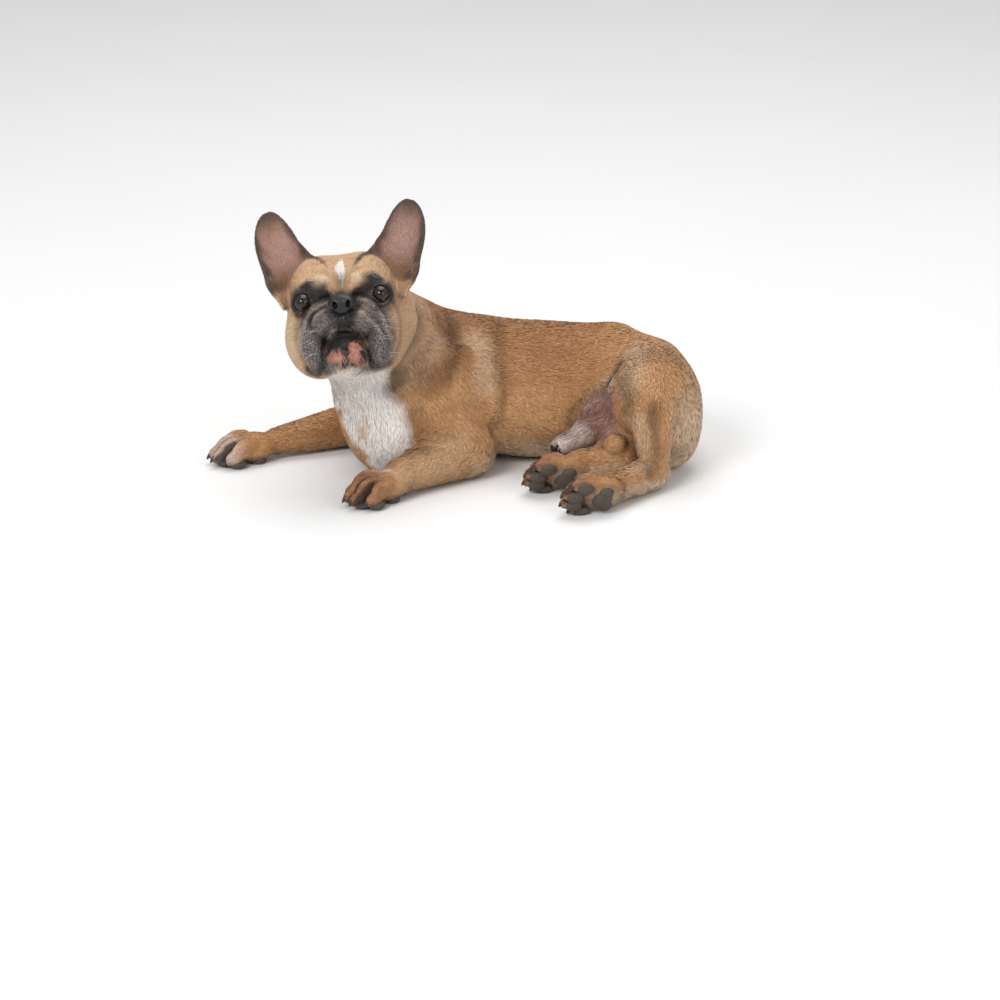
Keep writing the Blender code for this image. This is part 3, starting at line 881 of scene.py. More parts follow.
# The black of the face, then what is grizzled: (left, up) centres and radii in millimetres, and how far.
MASK = (
    ((-48, 19), (16, 19)), ((-33, 32), (19, 12)), ((47, 18), (20, 17)), ((36, 31), (18, 14)),
    ((-1, 11), (30, 14)), ((-1, -7), (23, 16)), ((-2, -32), (26, 22)), ((-41, -62), (13, 9)),
    ((36, -66), (16, 9)), ((-30, -50), (7, 18)), ((28, -52), (7, 18)), ((-1, -48), (28, 17)),
    ((-27, 22), (18, 9)), ((26, 21), (18, 9)),
)
GRIZZLED = (
    ((-39, -26), (16, 34), 1.0), ((40, -31), (17, 36), 1.0), ((-34, 6), (17, 15), 0.8),
    ((38, 4), (18, 17), 0.8), ((-23, -60), (12, 13), 1.0), ((13, -69), (12, 9), 1.0),
    ((-26, -12), (15, 17), 1.0), ((28, -14), (15, 17), 1.0),
)
# Patches of colour on the body: a chain of places, how wide it is about them, and how soft its edge. Those
# along the folds of the neck and under the jaw, behind the shoulder, at the side of the chest and behind the
# ham are painted shade.
BODY_PATCHES = {
    "haunch": (((0.222, -0.045, 0.146), (0.214, -0.086, 0.128)), 0.02, 0.018),
    "shin": (((0.214, -0.13, 0.09), (0.22, -0.146, 0.045)), 0.018, 0.012),
    "scruff": (((0.186, -0.058, 0.118), (0.166, -0.062, 0.096)), 0.01, 0.008),
    "ruff": (((-0.07, -0.04, 0.245), (-0.03, -0.07, 0.19), (-0.052, -0.105, 0.15)), 0.022, 0.016),
    "fore": (((0.0, -0.115, 0.04), (-0.05, -0.15, 0.03)), 0.03, 0.016),
    "shoulder": (((0.027, -0.035, 0.165), (0.035, -0.07, 0.12)), 0.016, 0.014),
    "groin": (((0.188, -0.066, 0.098), (0.17, -0.064, 0.078), (0.184, -0.078, 0.064)), 0.021, 0.008),
    "groin_front": (((0.162, -0.07, 0.062), (0.15, -0.074, 0.058)), 0.012, 0.006),
    "sheath": (((0.158, -0.062, 0.05), (0.122, -0.082, 0.04)), 0.016, 0.004),
    "tip": (((0.1235, -0.0905, 0.041), (0.118, -0.085, 0.035)), 0.009, 0.002),
    "band": (((0.055, 0.0, 0.165), (0.062, -0.055, 0.118)), 0.018, 0.018),
    "collar": (((-0.012, -0.05, 0.18), (-0.03, -0.095, 0.14)), 0.02, 0.018),
    "jaw": (((-0.06, -0.103, 0.158), (-0.074, -0.116, 0.128)), 0.012, 0.01),
    "chest_side": (((-0.05, -0.124, 0.102), (-0.04, -0.128, 0.066)), 0.014, 0.014),
    "hip": (((0.204, -0.09, 0.128), (0.208, -0.108, 0.112)), 0.012, 0.012),
    "ham": (((0.24, -0.134, 0.112), (0.24, -0.146, 0.058)), 0.012, 0.012),
}


class Marks:
    """How much of each marking lies at each point, from 0 to 1. The crease is no marking but painted shade in
    the folds.

    On the face a marking is an ellipse seen from in front, on the body a distance from a
    chain of points. Smooth noise shifts the points first, so that no edge is even.
    """

    NAMES = (
        "white", "black", "grizzle", "cream", "saddle", "rust", "bare", "pad", "rim", "inner_ear", "wet",
        "crease",
    )

    def __init__(self, flesh: Sculpture, points: Array, normals: Array) -> None:
        """Reads every marking at the points."""
        wobble = np.stack([Ripple(0.016, seed)(points) for seed in (1, 2, 3)], 1) * 0.0016
        wobble += np.stack([Ripple(0.045, seed)(points) for seed in (4, 5, 6)], 1) * 0.003
        self.flesh = flesh
        self.points, self.normals = points, normals
        self.moved = points + wobble
        self.face = SKULL.local(points + wobble * 0.55)
        self.values = {name: np.zeros(len(points)) for name in self.NAMES}
        self.on_ear, self.ear_front = self.ears()
        self.on_head()
        self.on_body()
        self.on_feet()
        # How deep in the folds each point lies, which darkens the colour: painted shade.
        self.values["crease"] = flesh.crease_at(points)

    def ears(self) -> tuple[Array, Array]:
        """Marks the ears' rims and insides, and returns how much each point is ear, and its front."""
        on_ear, front = np.zeros(len(self.points)), np.zeros(len(self.points))
        for ear in EARS:
            low, high = ear.box()
            near = np.flatnonzero(((self.points > low) & (self.points < high)).all(1))
            if not len(near):
                continue
            points = self.points[near]
            local = ear.local(points)
            along = local[:, 0] / ear.length
            held = ease(ear.distance(points), 0.006, 0.002) * ease(along, -0.02, 0.1)
            facing = ease(self.normals[near] @ ear.axes()[:, 2], -0.1, 0.35)
            inner, outer = ear.edges(along)
            middle = local[:, 1] - ear.drift(along)
            across = np.where(middle < 0, -middle / inner, middle / outer)
            edge = ease(across + 0.12 * Ripple(0.02, 8)(points), 0.42, 0.98)
            edge = np.maximum(edge, ease(along, 0.7, 1.0))
            on_ear[near] = np.maximum(on_ear[near], held)
            front[near] = np.maximum(front[near], held * facing)
            front_dark = facing * (0.62 + 0.38 * edge)
            self.values["rim"][near] = np.maximum(
                self.values["rim"][near], held * np.maximum(front_dark, edge * 0.8)
            )
            pink = facing * (1 - edge) * ease(along, 0.14, 0.42) * ease(along, 1.05, 0.6) * 0.92
            self.values["inner_ear"][near] = np.maximum(self.values["inner_ear"][near], held * pink)
        return on_ear, front

    def on_head(self) -> None:
        """Marks the blaze, the mask with its grizzled lips, the chin and the pink of the lip."""
        ahead, left, up = self.face.T
        facing = ease(ahead, 0.004, 0.026) * (1 - self.on_ear)
        near = ease(np.linalg.norm(self.face, axis=1), 0.125, 0.105)
        black = np.zeros(len(left))
        for centre, radii in MASK:
            black = np.maximum(black, blot(left, up, centre, radii))
        grizzle = np.zeros(len(left))
        for centre, radii, share in GRIZZLED:
            grizzle = np.maximum(grizzle, blot(left, up, centre, radii, 0.4) * share)
        brow = np.maximum(blot(left, up, (-22, 43), (10, 8), 0.8), blot(left, up, (19, 42), (10, 8), 0.8))
        width = 0.0071 * np.minimum(1 - (up - 0.054) / 0.0145, np.maximum((up - 0.037) / 0.017, 0.12))
        blaze = ease(width - np.abs(left - 0.002), -0.0009, 0.0009)
        blaze = blaze * ease(up, 0.026, 0.03) * ease(up, 0.071, 0.067)
        chin = blot(left, up, (-4, -69), (18, 9), 0.5)
        ragged = left + 0.003 * Ripple(0.007, 31)(self.points)
        higher = up + 0.0035 * Ripple(0.008, 32)(self.points)
        pink = np.maximum(
            blot(ragged, higher, (-13, -50), (9, 8), 0.2), blot(ragged, higher, (9, -47), (8, 12), 0.2)
        )
        face = facing * near
        flat = np.stack([left, up, np.zeros_like(up)], 1)
        pale = np.zeros(len(left))
        for chain in (*RIDGES, *LIP_EDGES):
            places = [(across / 1000, high / 1000, 0.0) for across, high in chain]
            pale = np.maximum(pale, along_chain(flat, places, 0.0016, 0.0014))
        pale = pale * ease(np.abs(left), 0.012, 0.024) * 0.62
        spared = (1 - 0.55 * brow) * (1 - pink) * (1 - 0.8 * chin) * (1 - 0.35 * pale)
        self.values["black"] = np.maximum(black, grizzle) * face * spared
        self.values["grizzle"] = grizzle * face * (1 - chin)
        self.values["white"] = np.maximum.reduce([blaze, 0.75 * chin, pale * 0.8]) * face
        cheek = blot(left, up, (-60, -22), (14, 34), 0.6) * 0.75 * near
        self.values["cream"] = np.maximum.reduce([0.9 * brow * face, cheek, 0.42 * near * (1 - self.on_ear)])
        self.values["bare"] = pink * face
        mouth = np.maximum(
            blot(left, up, (-1, -18), (14, 5), 0.4), 0.8 * blot(left, up, (-2, -6), (8, 9), 0.3)
        )
        lower_lip = 0.35 * blot(left, up, (-2, -32), (16, 12), 0.3)
        self.values["wet"] = np.maximum.reduce([mouth, 0.5 * pink, lower_lip]) * face
        crown = ease(up, 0.03, 0.075) * near * (1 - self.on_ear)
        dusky = blot(left, up, (57, -8), (22, 26), 0.7) * near * ease(ahead, -0.03, 0.02)
        self.values["saddle"] = 0.25 * crown + 0.45 * dusky

    def on_body(self) -> None:
        """Marks the white breast, the light underside and haunch, the dark back and the bare groin, and
        paints shade in the folds of the neck, shoulder, chest side and ham.
        """
        p, v = self.moved, self.values
        ahead, _, up = self.face.T
        muzzle = np.maximum(ease(up, -0.072, -0.06), ease(ahead, 0.022, 0.036) * ease(up, -0.086, -0.078))
        body = 1 - ease(np.linalg.norm(self.face * (1, 1, 0.9), axis=1), 0.1, 0.082) * muzzle
        body = body * (1 - self.on_ear)
        throat = [(-0.122, -0.1, 0.158), (-0.113, -0.128, 0.14), (-0.103, -0.133, 0.108)]
        breast = along_chain(p, [*throat, (-0.082, -0.132, 0.066), (-0.078, -0.12, 0.025)], 0.036, 0.008)
        breast = np.maximum(
            breast, along_chain(p, [(-0.138, -0.09, 0.11), (-0.12, -0.12, 0.075)], 0.02, 0.008)
        )
        side = [
            (-0.152, -0.08, 0.138), (-0.152, -0.072, 0.105), (-0.14, -0.092, 0.078), (-0.115, -0.115, 0.055)
        ]
        breast = np.maximum(breast, along_chain(p, side, 0.02, 0.006))
        under = [(-0.125, -0.15, 0.15), (-0.12, -0.125, 0.15), (-0.118, -0.11, 0.135)]
        breast = np.maximum(breast, along_chain(p, under, 0.03, 0.008))
        patch = along_chain(p, [(-0.152, -0.062, 0.082), (-0.147, -0.074, 0.088)], 0.007, 0.004)
        sleeve = RoundLimb((0.016, -0.07, 0.03), (-0.062, -0.14, 0.026), 0.033, 0.023).distance(p)
        sleeve = np.minimum(
            sleeve, RoundLimb((-0.03, -0.086, 0.088), (0.016, -0.072, 0.036), 0.034, 0.031).distance(p)
        )
        breast = breast * (1 - patch) * ease(sleeve, 0.0015, 0.006)
        patches = {name: along_chain(p, *row) for name, row in BODY_PATCHES.items()}
        underneath = ease(-self.normals[:, 2], -0.55, 0.25)
        belly = ease(p[:, 2], 0.055, 0.018) * ease(p[:, 0], 0.0, 0.05) * underneath
        rump = ease(p[:, 0], 0.25, 0.285) * ease(p[:, 2], 0.15, 0.085)
        back = ease(p[:, 2] + 0.35 * p[:, 0], 0.115, 0.175)
        back = back * ease(p[:, 0], -0.13, -0.04) * ease(p[:, 0], 0.25, 0.12)

        def strongest(**shares: float) -> Array:
            """Returns the greatest of the named patches, each at its share."""
            return np.maximum.reduce([share * patches[name] for name, share in shares.items()])

        pale = strongest(haunch=0.55, shin=0.6, scruff=1.0, ruff=0.35, fore=0.3, shoulder=0.5)
        cream = np.maximum.reduce([belly * 0.9, rump * 0.85, pale])
        # Darker behind the shoulder, in the neck fold under the head, at the side of the chest and behind the
        # ham: painted shade, on top of the real darker back.
        saddle = np.maximum(back * 0.75, strongest(band=0.6, collar=1.0, ham=0.8, chest_side=0.56))
        # Black under the jaw and in the neck fold is painted shade.
        black = strongest(jaw=0.75, hip=0.5, tip=1.0, collar=0.26) * body
        breast = np.maximum(breast, patches["sheath"] * 0.75 * (1 - patches["tip"]))
        v["white"] = np.maximum(v["white"], breast * body)
        v["cream"] = np.maximum(v["cream"], cream * body)
        v["saddle"] = np.maximum(v["saddle"], saddle * body)
        # The side of the chest is darkened again: painted shade.
        v["black"] = np.maximum.reduce([v["black"], black, patches["chest_side"] * 0.8 * 0.35])
        v["bare"] = np.maximum(v["bare"], strongest(groin=1.0, groin_front=0.7) * body)

    def on_feet(self) -> None:
        """Marks rusty toes and dark pads, and paints shade between the toes and under the foot."""
        for foot in FEET:
            local = (self.points - np.asarray(foot.centre)) @ foot.turn / foot.scale
            near = np.linalg.norm(local, axis=1) < 0.05
            if not near.any():
                continue
            here = local[near]
            paw = ease(here[:, 0], -0.014, 0.014) * (0.75 + 0.25 * Ripple(0.012, 9)(self.points[near]))
            # Dark between the toes: painted shade.
            gaps = np.zeros(len(here))
            for (_, left, _), (_, other, _) in zip(foot.TOES[:-1], foot.TOES[1:]):
                middle = (left + other) / 2 * 1.02
                gaps = np.maximum(
                    gaps, ease(np.abs(here[:, 1] - middle), 0.0032, 0.0008) * ease(here[:, 0], 0.004, 0.014)
                )
            pads = np.zeros(len(here))
            for pad in foot.pads():
                pads = np.maximum(pads, ease(pad.distance(self.points[near]), 0.0012, 0.0002))
            # Darker low on the foot, off the pads: painted shade.
            between = ease(-here[:, 2], 0.004, 0.009) * (1 - pads)
            fore = 0.85 if foot.name == "forepaw_right" else 0.0
            v = self.values
            v["rust"][near] = np.maximum(v["rust"][near], np.clip(paw, 0, 1) * (1 - 0.6 * fore))
            v["white"][near] = np.maximum(v["white"][near], fore * 0.45 * ease(here[:, 0], 0.0, 0.02))
            v["black"][near] = np.maximum(v["black"][near], np.maximum(gaps * 0.85, between * 0.35))
            v["pad"][near] = np.maximum(v["pad"][near], pads)

    def colours(self) -> dict[str, Array]:
        """Returns the markings packed by fours, as colour attributes."""
        names = ("marks_a", "marks_b", "marks_c")
        rows = [self.values[name] for name in self.NAMES]
        return {name: np.stack(rows[4 * i : 4 * i + 4], 1) for i, name in enumerate(names)}


# ------------------------------------------------------------------ the lie and the parts of the coat


def in_head(places: Sequence[Point]) -> list[Array]:
    """Returns places on the head as points of the body."""
    return [SKULL.place(place) for place in places]


def lie_of_hair() -> tuple[Array, Array]:
    """Returns guide points and the direction in which the hair lies at each.

    Hair runs back from the nose over the head and back, down the sides and limbs, and up
    the ears. Each line is smooth and gives its points and tangents.
    """
    lines: list[list[Array]] = [
        in_head([(0.082, 0, 0.026), (0.058, 0, 0.045), (0.02, 0, 0.073), (-0.05, 0, 0.062)]),
        in_head([(0.08, 0, -0.06), (0.05, 0, -0.078), (0.0, 0, -0.08)]),
    ]
    mirrored = (
        ((0.08, 0.02, 0.0), (0.07, 0.045, -0.025), (0.03, 0.066, -0.05)),
        ((0.056, 0.052, -0.01), (0.02, 0.078, -0.02), (-0.04, 0.07, -0.03)),
        ((0.06, 0.03, 0.03), (0.04, 0.045, 0.048), (0.0, 0.05, 0.072)),
        ((0.062, 0.04, -0.04), (0.05, 0.044, -0.07), (0.01, 0.05, -0.08)),
    )
    for side in SIDES.values():
        lines += [in_head([(ahead, side * left, up) for ahead, left, up in line]) for line in mirrored]
    for ear in EARS:
        for across in (-0.018, 0.002, 0.022):
            flat = np.array([[0.0, across, 0.004], [0.05, across, 0.0], [0.105, across * 0.3 + 0.004, 0.0]])
            lines.append(list(ear.root() + flat @ ear.axes().T))
    body = (
        ((-0.085, -0.03, 0.262), (-0.03, 0.03, 0.205), (0.03, 0.025, 0.176), (0.12, 0.025, 0.166)),
        ((0.12, 0.02, 0.168), (0.2, 0.015, 0.155), (0.262, 0.01, 0.125), (0.292, 0.02, 0.07)),
        ((-0.06, -0.095, 0.19), (-0.03, -0.105, 0.14), (-0.008, -0.11, 0.1), (0.01, -0.098, 0.06)),
        ((-0.03, -0.06, 0.2), (0.02, -0.07, 0.145), (0.09, -0.068, 0.105), (0.15, -0.064, 0.07)),
        ((0.05, -0.04, 0.15), (0.12, -0.045, 0.13), (0.185, -0.045, 0.135), (0.225, -0.06, 0.14)),
        ((0.225, -0.05, 0.145), (0.24, -0.115, 0.125), (0.246, -0.15, 0.07), (0.25, -0.14, 0.03)),
        ((0.25, -0.03, 0.148), (0.29, -0.06, 0.1), (0.3, -0.06, 0.05), (0.28, -0.07, 0.015)),
        ((0.06, -0.072, 0.06), (0.11, -0.066, 0.04), (0.16, -0.06, 0.03)),
        ((0.195, -0.075, 0.1), (0.17, -0.068, 0.072), (0.135, -0.075, 0.05)),
        ((-0.125, -0.115, 0.155), (-0.112, -0.132, 0.11), (-0.095, -0.128, 0.06), (-0.08, -0.105, 0.015)),
        ((-0.16, -0.06, 0.14), (-0.155, -0.06, 0.09), (-0.13, -0.05, 0.03)),
        ((-0.15, 0.0, 0.2), (-0.135, 0.04, 0.14), (-0.12, 0.075, 0.08), (-0.1, 0.095, 0.035)),
        ((-0.09, 0.03, 0.22), (-0.03, 0.085, 0.15), (0.03, 0.105, 0.1), (0.1, 0.11, 0.07)),
        ((0.08, 0.09, 0.135), (0.16, 0.09, 0.11), (0.24, 0.055, 0.07), (0.27, 0.03, 0.03)),
        ((-0.02, -0.11, 0.06), (-0.05, -0.14, 0.045), (-0.09, -0.168, 0.04), (-0.125, -0.19, 0.02)),
        ((0.03, -0.095, 0.03), (-0.03, -0.145, 0.02), (-0.08, -0.175, 0.012)),
        ((-0.11, 0.05, 0.06), (-0.17, 0.02, 0.045), (-0.249, -0.015, 0.038), (-0.297, -0.035, 0.015)),
        ((0.25, -0.14, 0.03), (0.215, -0.18, 0.035), (0.18, -0.205, 0.04), (0.14, -0.215, 0.03)),
        ((0.215, -0.11, 0.05), (0.17, -0.125, 0.045), (0.13, -0.14, 0.035), (0.1, -0.14, 0.025)),
    )
    lines += [[np.array(point) for point in line] for line in body]
    points, ways = [], []
    for line in lines:
        chain = bow(line, 4)
        points.append((chain[1:] + chain[:-1]) / 2)
        ways.append(unit(chain[1:] - chain[:-1]))
    return np.concatenate(points), np.concatenate(ways)


class CoatPart(Enum):
    """The pieces that the coat is made in."""

    HEAD = "coat_head"
    EARS = "coat_ears"
    NECK = "coat_neck"
    FRONT = "coat_shoulders"
    MIDDLE = "coat_barrel"
    REAR = "coat_rump"
    FORELEGS = "coat_forelegs"
    HIND_LEGS = "coat_hind_legs"


@dataclass(frozen=True)
class Bone:
    """An axis through part of the body, and how thick the body is round it."""

    start: Point
    end: Point
    radius: float

    def distance(self, points: Array) -> Array:
        """Returns the distance to the bone's flesh."""
        return RoundLimb(self.start, self.end, self.radius, self.radius).distance(points)

    def unrolled(self, points: Array) -> Array:
        """Returns the turn about the bone and the place along it, both 0 to 1."""
        axis = np.asarray(self.end, float) - self.start
        length = np.linalg.norm(axis)
        turn = turned(axis / length, (0.13, 0.21, 0.97))
        local = (points - np.asarray(self.start)) @ turn
        span = length + 2 * self.radius
        around = np.arctan2(local[:, 2], local[:, 1]) / (2 * math.pi) + 0.5
        return np.stack([around, np.clip((local[:, 0] + self.radius) / span, 0, 1)], 1)


def head_bone() -> Bone:
    """Returns the axis from the nape to the muzzle."""
    start, end = SKULL.place((-0.03, 0, 0.0)), SKULL.place((0.05, 0, -0.012))
    return Bone(tuple(start), tuple(end), 0.058)


BONES: dict[CoatPart, tuple[Bone, ...]] = {
    CoatPart.HEAD: (head_bone(),),
    CoatPart.NECK: (Bone((-0.045, -0.01, 0.14), (-0.105, -0.045, 0.185), 0.066),),
    CoatPart.FRONT: (Bone((-0.1, -0.05, 0.08), (0.02, 0.005, 0.09), 0.082),),
    CoatPart.MIDDLE: (Bone((0.04, 0.015, 0.085), (0.15, 0.02, 0.085), 0.082),),
    CoatPart.REAR: (Bone((0.18, 0.015, 0.08), (0.255, -0.025, 0.07), 0.076),),
    CoatPart.FORELEGS: (
        Bone((-0.02, -0.095, 0.055), (0.01, -0.085, 0.036), 0.034),
        Bone((0.01, -0.078, 0.03), (-0.066, -0.143, 0.026), 0.027),
        Bone((-0.08, -0.158, 0.019), (-0.115, -0.184, 0.018), 0.022),
        Bone((-0.11, 0.06, 0.032), (-0.22, 0.001, 0.021), 0.024),
        Bone((-0.244, -0.013, 0.019), (-0.284, -0.029, 0.018), 0.022),
    ),
    CoatPart.HIND_LEGS: (
        Bone((0.243, -0.112, 0.08), (0.242, -0.122, 0.032), 0.027),
        Bone((0.242, -0.122, 0.024), (0.186, -0.184, 0.022), 0.019),
        Bone((0.182, -0.198, 0.024), (0.145, -0.209, 0.024), 0.022),
        Bone((0.2, -0.092, 0.026), (0.15, -0.108, 0.025), 0.022),
        Bone((0.14, -0.122, 0.025), (0.103, -0.133, 0.024), 0.022),
        Bone((0.172, -0.048, 0.052), (0.127, -0.078, 0.041), 0.013),
    ),
}


def part_of(points: Array, on_ear: Array) -> Array:
    """Returns the index of the coat's part at each point, by the nearest bone, or the ear."""
    parts = list(CoatPart)
    gaps = np.full((len(points), len(parts)), np.inf)
    for number, part in enumerate(parts):
        for bone in BONES.get(part, ()):
            gaps[:, number] = np.minimum(gaps[:, number], bone.distance(points))
    found = gaps.argmin(1)
    found[on_ear > 0.35] = parts.index(CoatPart.EARS)
    return found


# ------------------------------------------------------------------ finishes


class Nodes:
    """Adds nodes to a tree and links them, in one call each."""

    def __init__(self, tree: bpy.types.NodeTree) -> None:
        """Keeps the tree."""
        self.tree = tree

    def add(self, kind: str, inputs: dict | None = None, **settings: object) -> bpy.types.Node:
        """Adds a node.

        Args:
            kind: the node's type, without "ShaderNode".
            inputs: for each socket's name or number, a value or the socket to link from.
            settings: the node's own settings.

        Returns:
            The node.
        """
        node = self.tree.nodes.new("ShaderNode" + kind)
        for name, value in settings.items():
            setattr(node, name, value)
        for name, value in (inputs or {}).items():
            if isinstance(value, bpy.types.NodeSocket):
                self.tree.links.new(value, node.inputs[name])
            else:
                node.inputs[name].default_value = value
        return node

    def mix(self, share: object, first: object, second: object, blend: str = "MIX") -> bpy.types.NodeSocket:
        """Returns a mix of two colours."""
        node = self.add("Mix", data_type="RGBA", blend_type=blend)
        for index, value in ((0, share), (6, first), (7, second)):
            if isinstance(value, bpy.types.NodeSocket):
                self.tree.links.new(value, node.inputs[index])
            else:
                node.inputs[index].default_value = value
        return node.outputs[2]

    def math(self, operation: str, first: object, second: object) -> bpy.types.NodeSocket:
        """Returns the result of a sum on two values."""
        return self.add("Math", {0: first, 1: second}, operation=operation).outputs[0]

    def times(self, first: object, second: object) -> bpy.types.NodeSocket:
        """Returns the product of two values."""
        return self.math("MULTIPLY", first, second)

    def grey(self, value: object) -> bpy.types.NodeSocket:
        """Returns a value as a grey."""
        return self.add("CombineColor", {0: value, 1: value, 2: value}).outputs[0]

    def split(self, name: str) -> bpy.types.bpy_prop_collection:
        """Returns the three parts of one of the mesh's attributes."""
        return self.add("SeparateColor", {0: self.attribute(name).outputs["Color"]}).outputs

    def noise(self, scale: object, **inputs: float) -> bpy.types.NodeSocket:
        """Returns noise laid out in the object's own space."""
        place = self.add("TexCoord").outputs["Object"]
        return self.add("TexNoise", {"Vector": place, "Scale": scale, **inputs}).outputs[0]

    def spread(
        self, value: object, low: float, high: float, to_low: float = 0.0, to_high: float = 1.0
    ) -> bpy.types.NodeSocket:
        """Returns the value carried from one range to another, and held there."""
        inputs = {"Value": value, "From Min": low, "From Max": high, "To Min": to_low, "To Max": to_high}
        return self.add("MapRange", inputs, clamp=True).outputs[0]

    def attribute(self, name: str) -> bpy.types.Node:
        """Returns a node that reads one of the mesh's attributes."""
        return self.add("Attribute", attribute_name=name)


def group_tree(
    name: str, inputs: dict[str, object], outputs: dict[str, str]
) -> tuple[Nodes, bpy.types.Node, bpy.types.Node]:
    """Starts a shader node group.

    Args:
        name: its name.
        inputs: for each input, its first value: a colour, or a number.
        outputs: for each output, "Color", "Float" or "Vector".

    Returns:
        The node maker, the group's input node and its output node.
    """
    tree = bpy.data.node_groups.new(name, "ShaderNodeTree")
    for label, value in inputs.items():
        kind = "NodeSocketFloat" if isinstance(value, float) else "NodeSocketColor"
        tree.interface.new_socket(label, in_out="INPUT", socket_type=kind).default_value = value
    for label, kind in outputs.items():
        tree.interface.new_socket(label, in_out="OUTPUT", socket_type="NodeSocket" + kind)
    return Nodes(tree), tree.nodes.new("NodeGroupInput"), tree.nodes.new("NodeGroupOutput")


def shade(red: float, green: float, blue: float) -> tuple[float, float, float, float]:
    """Returns a colour given in display values, 0 to 255, as linear light."""
    linear = [
        ((value / 255 + 0.055) / 1.055) ** 2.4 if value > 10 else value / 3295 for value in (red, green, blue)
    ]
    return (*linear, 1.0)


@dataclass(frozen=True)
class CoatColours:
    """The colours of the dog, and the shader group that lays them by the markings."""

    fawn: tuple = shade(205, 156, 108)
    saddle: tuple = shade(166, 113, 69)
    cream: tuple = shade(230, 202, 170)
    white: tuple = shade(243, 236, 230)
    black: tuple = shade(34, 28, 27)
    grey: tuple = shade(176, 165, 161)
    rust: tuple = shade(148, 98, 74)
    bare: tuple = shade(156, 118, 116)
    pad: tuple = shade(84, 76, 68)
    lip: tuple = shade(172, 104, 98)
    rim: tuple = shade(84, 66, 59)
    inner_ear: tuple = shade(178, 140, 130)

    def group(self) -> bpy.types.NodeTree:
        """Builds the group: each marking is mixed over the last, with a speckle in the grizzle, and the
        colour is darkened in the pressed folds as painted shade.
        """
        labels = {name.replace("_", " ").capitalize(): value for name, value in vars(self).items()}
        nodes, given, out = group_tree("Coat colours", {**labels, "Mottle": 0.25}, {"Color": "Color"})
        broad, fine = nodes.noise(22.0, Detail=3.0), nodes.noise(520.0, Detail=2.0)
        speck, patchy = nodes.noise(720.0, Detail=2.0, Roughness=0.6), nodes.noise(260.0, Detail=3.0)
        marks = [nodes.attribute(name) for name in ("marks_a", "marks_b", "marks_c")]
        parts = []
        for mark in marks:
            split = nodes.add("SeparateColor", {0: mark.outputs["Color"]})
            parts += [*split.outputs[:3], mark.outputs["Alpha"]]
        masks = dict(zip(Marks.NAMES, parts))
        paint = given.outputs
        colour = nodes.mix(nodes.spread(broad, 0.35, 0.7, 0.0, 0.35), paint["Fawn"], paint["Saddle"])
        colour = nodes.mix(masks["saddle"], colour, paint["Saddle"])
        colour = nodes.mix(masks["cream"], colour, paint["Cream"])
        colour = nodes.mix(nodes.times(masks["rust"], 0.8), colour, paint["Rust"])
        colour = nodes.mix(masks["white"], colour, paint["White"])
        dust = nodes.times(nodes.spread(speck, 0.4, 0.62), masks["grizzle"])
        dark = nodes.mix(nodes.times(dust, 0.8), paint["Black"], paint["Grey"])
        colour = nodes.mix(masks["black"], colour, dark)
        colour = nodes.mix(masks["rim"], colour, paint["Rim"])
        colour = nodes.mix(masks["inner_ear"], colour, paint["Inner ear"])
        blotch = nodes.spread(patchy, 0.38, 0.58, 0.5, 1.0)
        naked = nodes.mix(nodes.spread(masks["wet"], 0.1, 0.4), paint["Bare"], paint["Lip"])
        colour = nodes.mix(nodes.times(masks["bare"], blotch), colour, naked)
        colour = nodes.mix(masks["pad"], colour, paint["Pad"])
        light = nodes.times(nodes.spread(fine, 0.25, 0.75, 1.0, 0.0), paint["Mottle"])
        # Darker in the pressed folds: painted shade.
        unshaded = nodes.math("SUBTRACT", 1.0, nodes.times(masks["crease"], 0.62))
        tint = nodes.grey(nodes.times(nodes.math("SUBTRACT", 1.08, light), unshaded))
        nodes.tree.links.new(nodes.mix(1.0, colour, tint, "MULTIPLY"), out.inputs["Color"])
        return nodes.tree


def grain_group() -> bpy.types.NodeTree:
    """Builds the group for fine relief: cells like pebbles, mixed with noise."""
    nodes, given, out = group_tree("Pebble grain", {"Scale": 900.0, "Pebbles": 0.5}, {"Height": "Float"})
    place = nodes.add("TexCoord").outputs["Object"]
    cell = nodes.add("TexVoronoi", {"Vector": place, "Scale": given.outputs["Scale"]}, feature="SMOOTH_F1")
    noise = nodes.noise(given.outputs["Scale"], Detail=3.0)
    mixed = nodes.add("Mix", {0: given.outputs["Pebbles"], 2: noise, 3: cell.outputs[0]}, data_type="FLOAT")
    nodes.tree.links.new(mixed.outputs[0], out.inputs["Height"])
    return nodes.tree


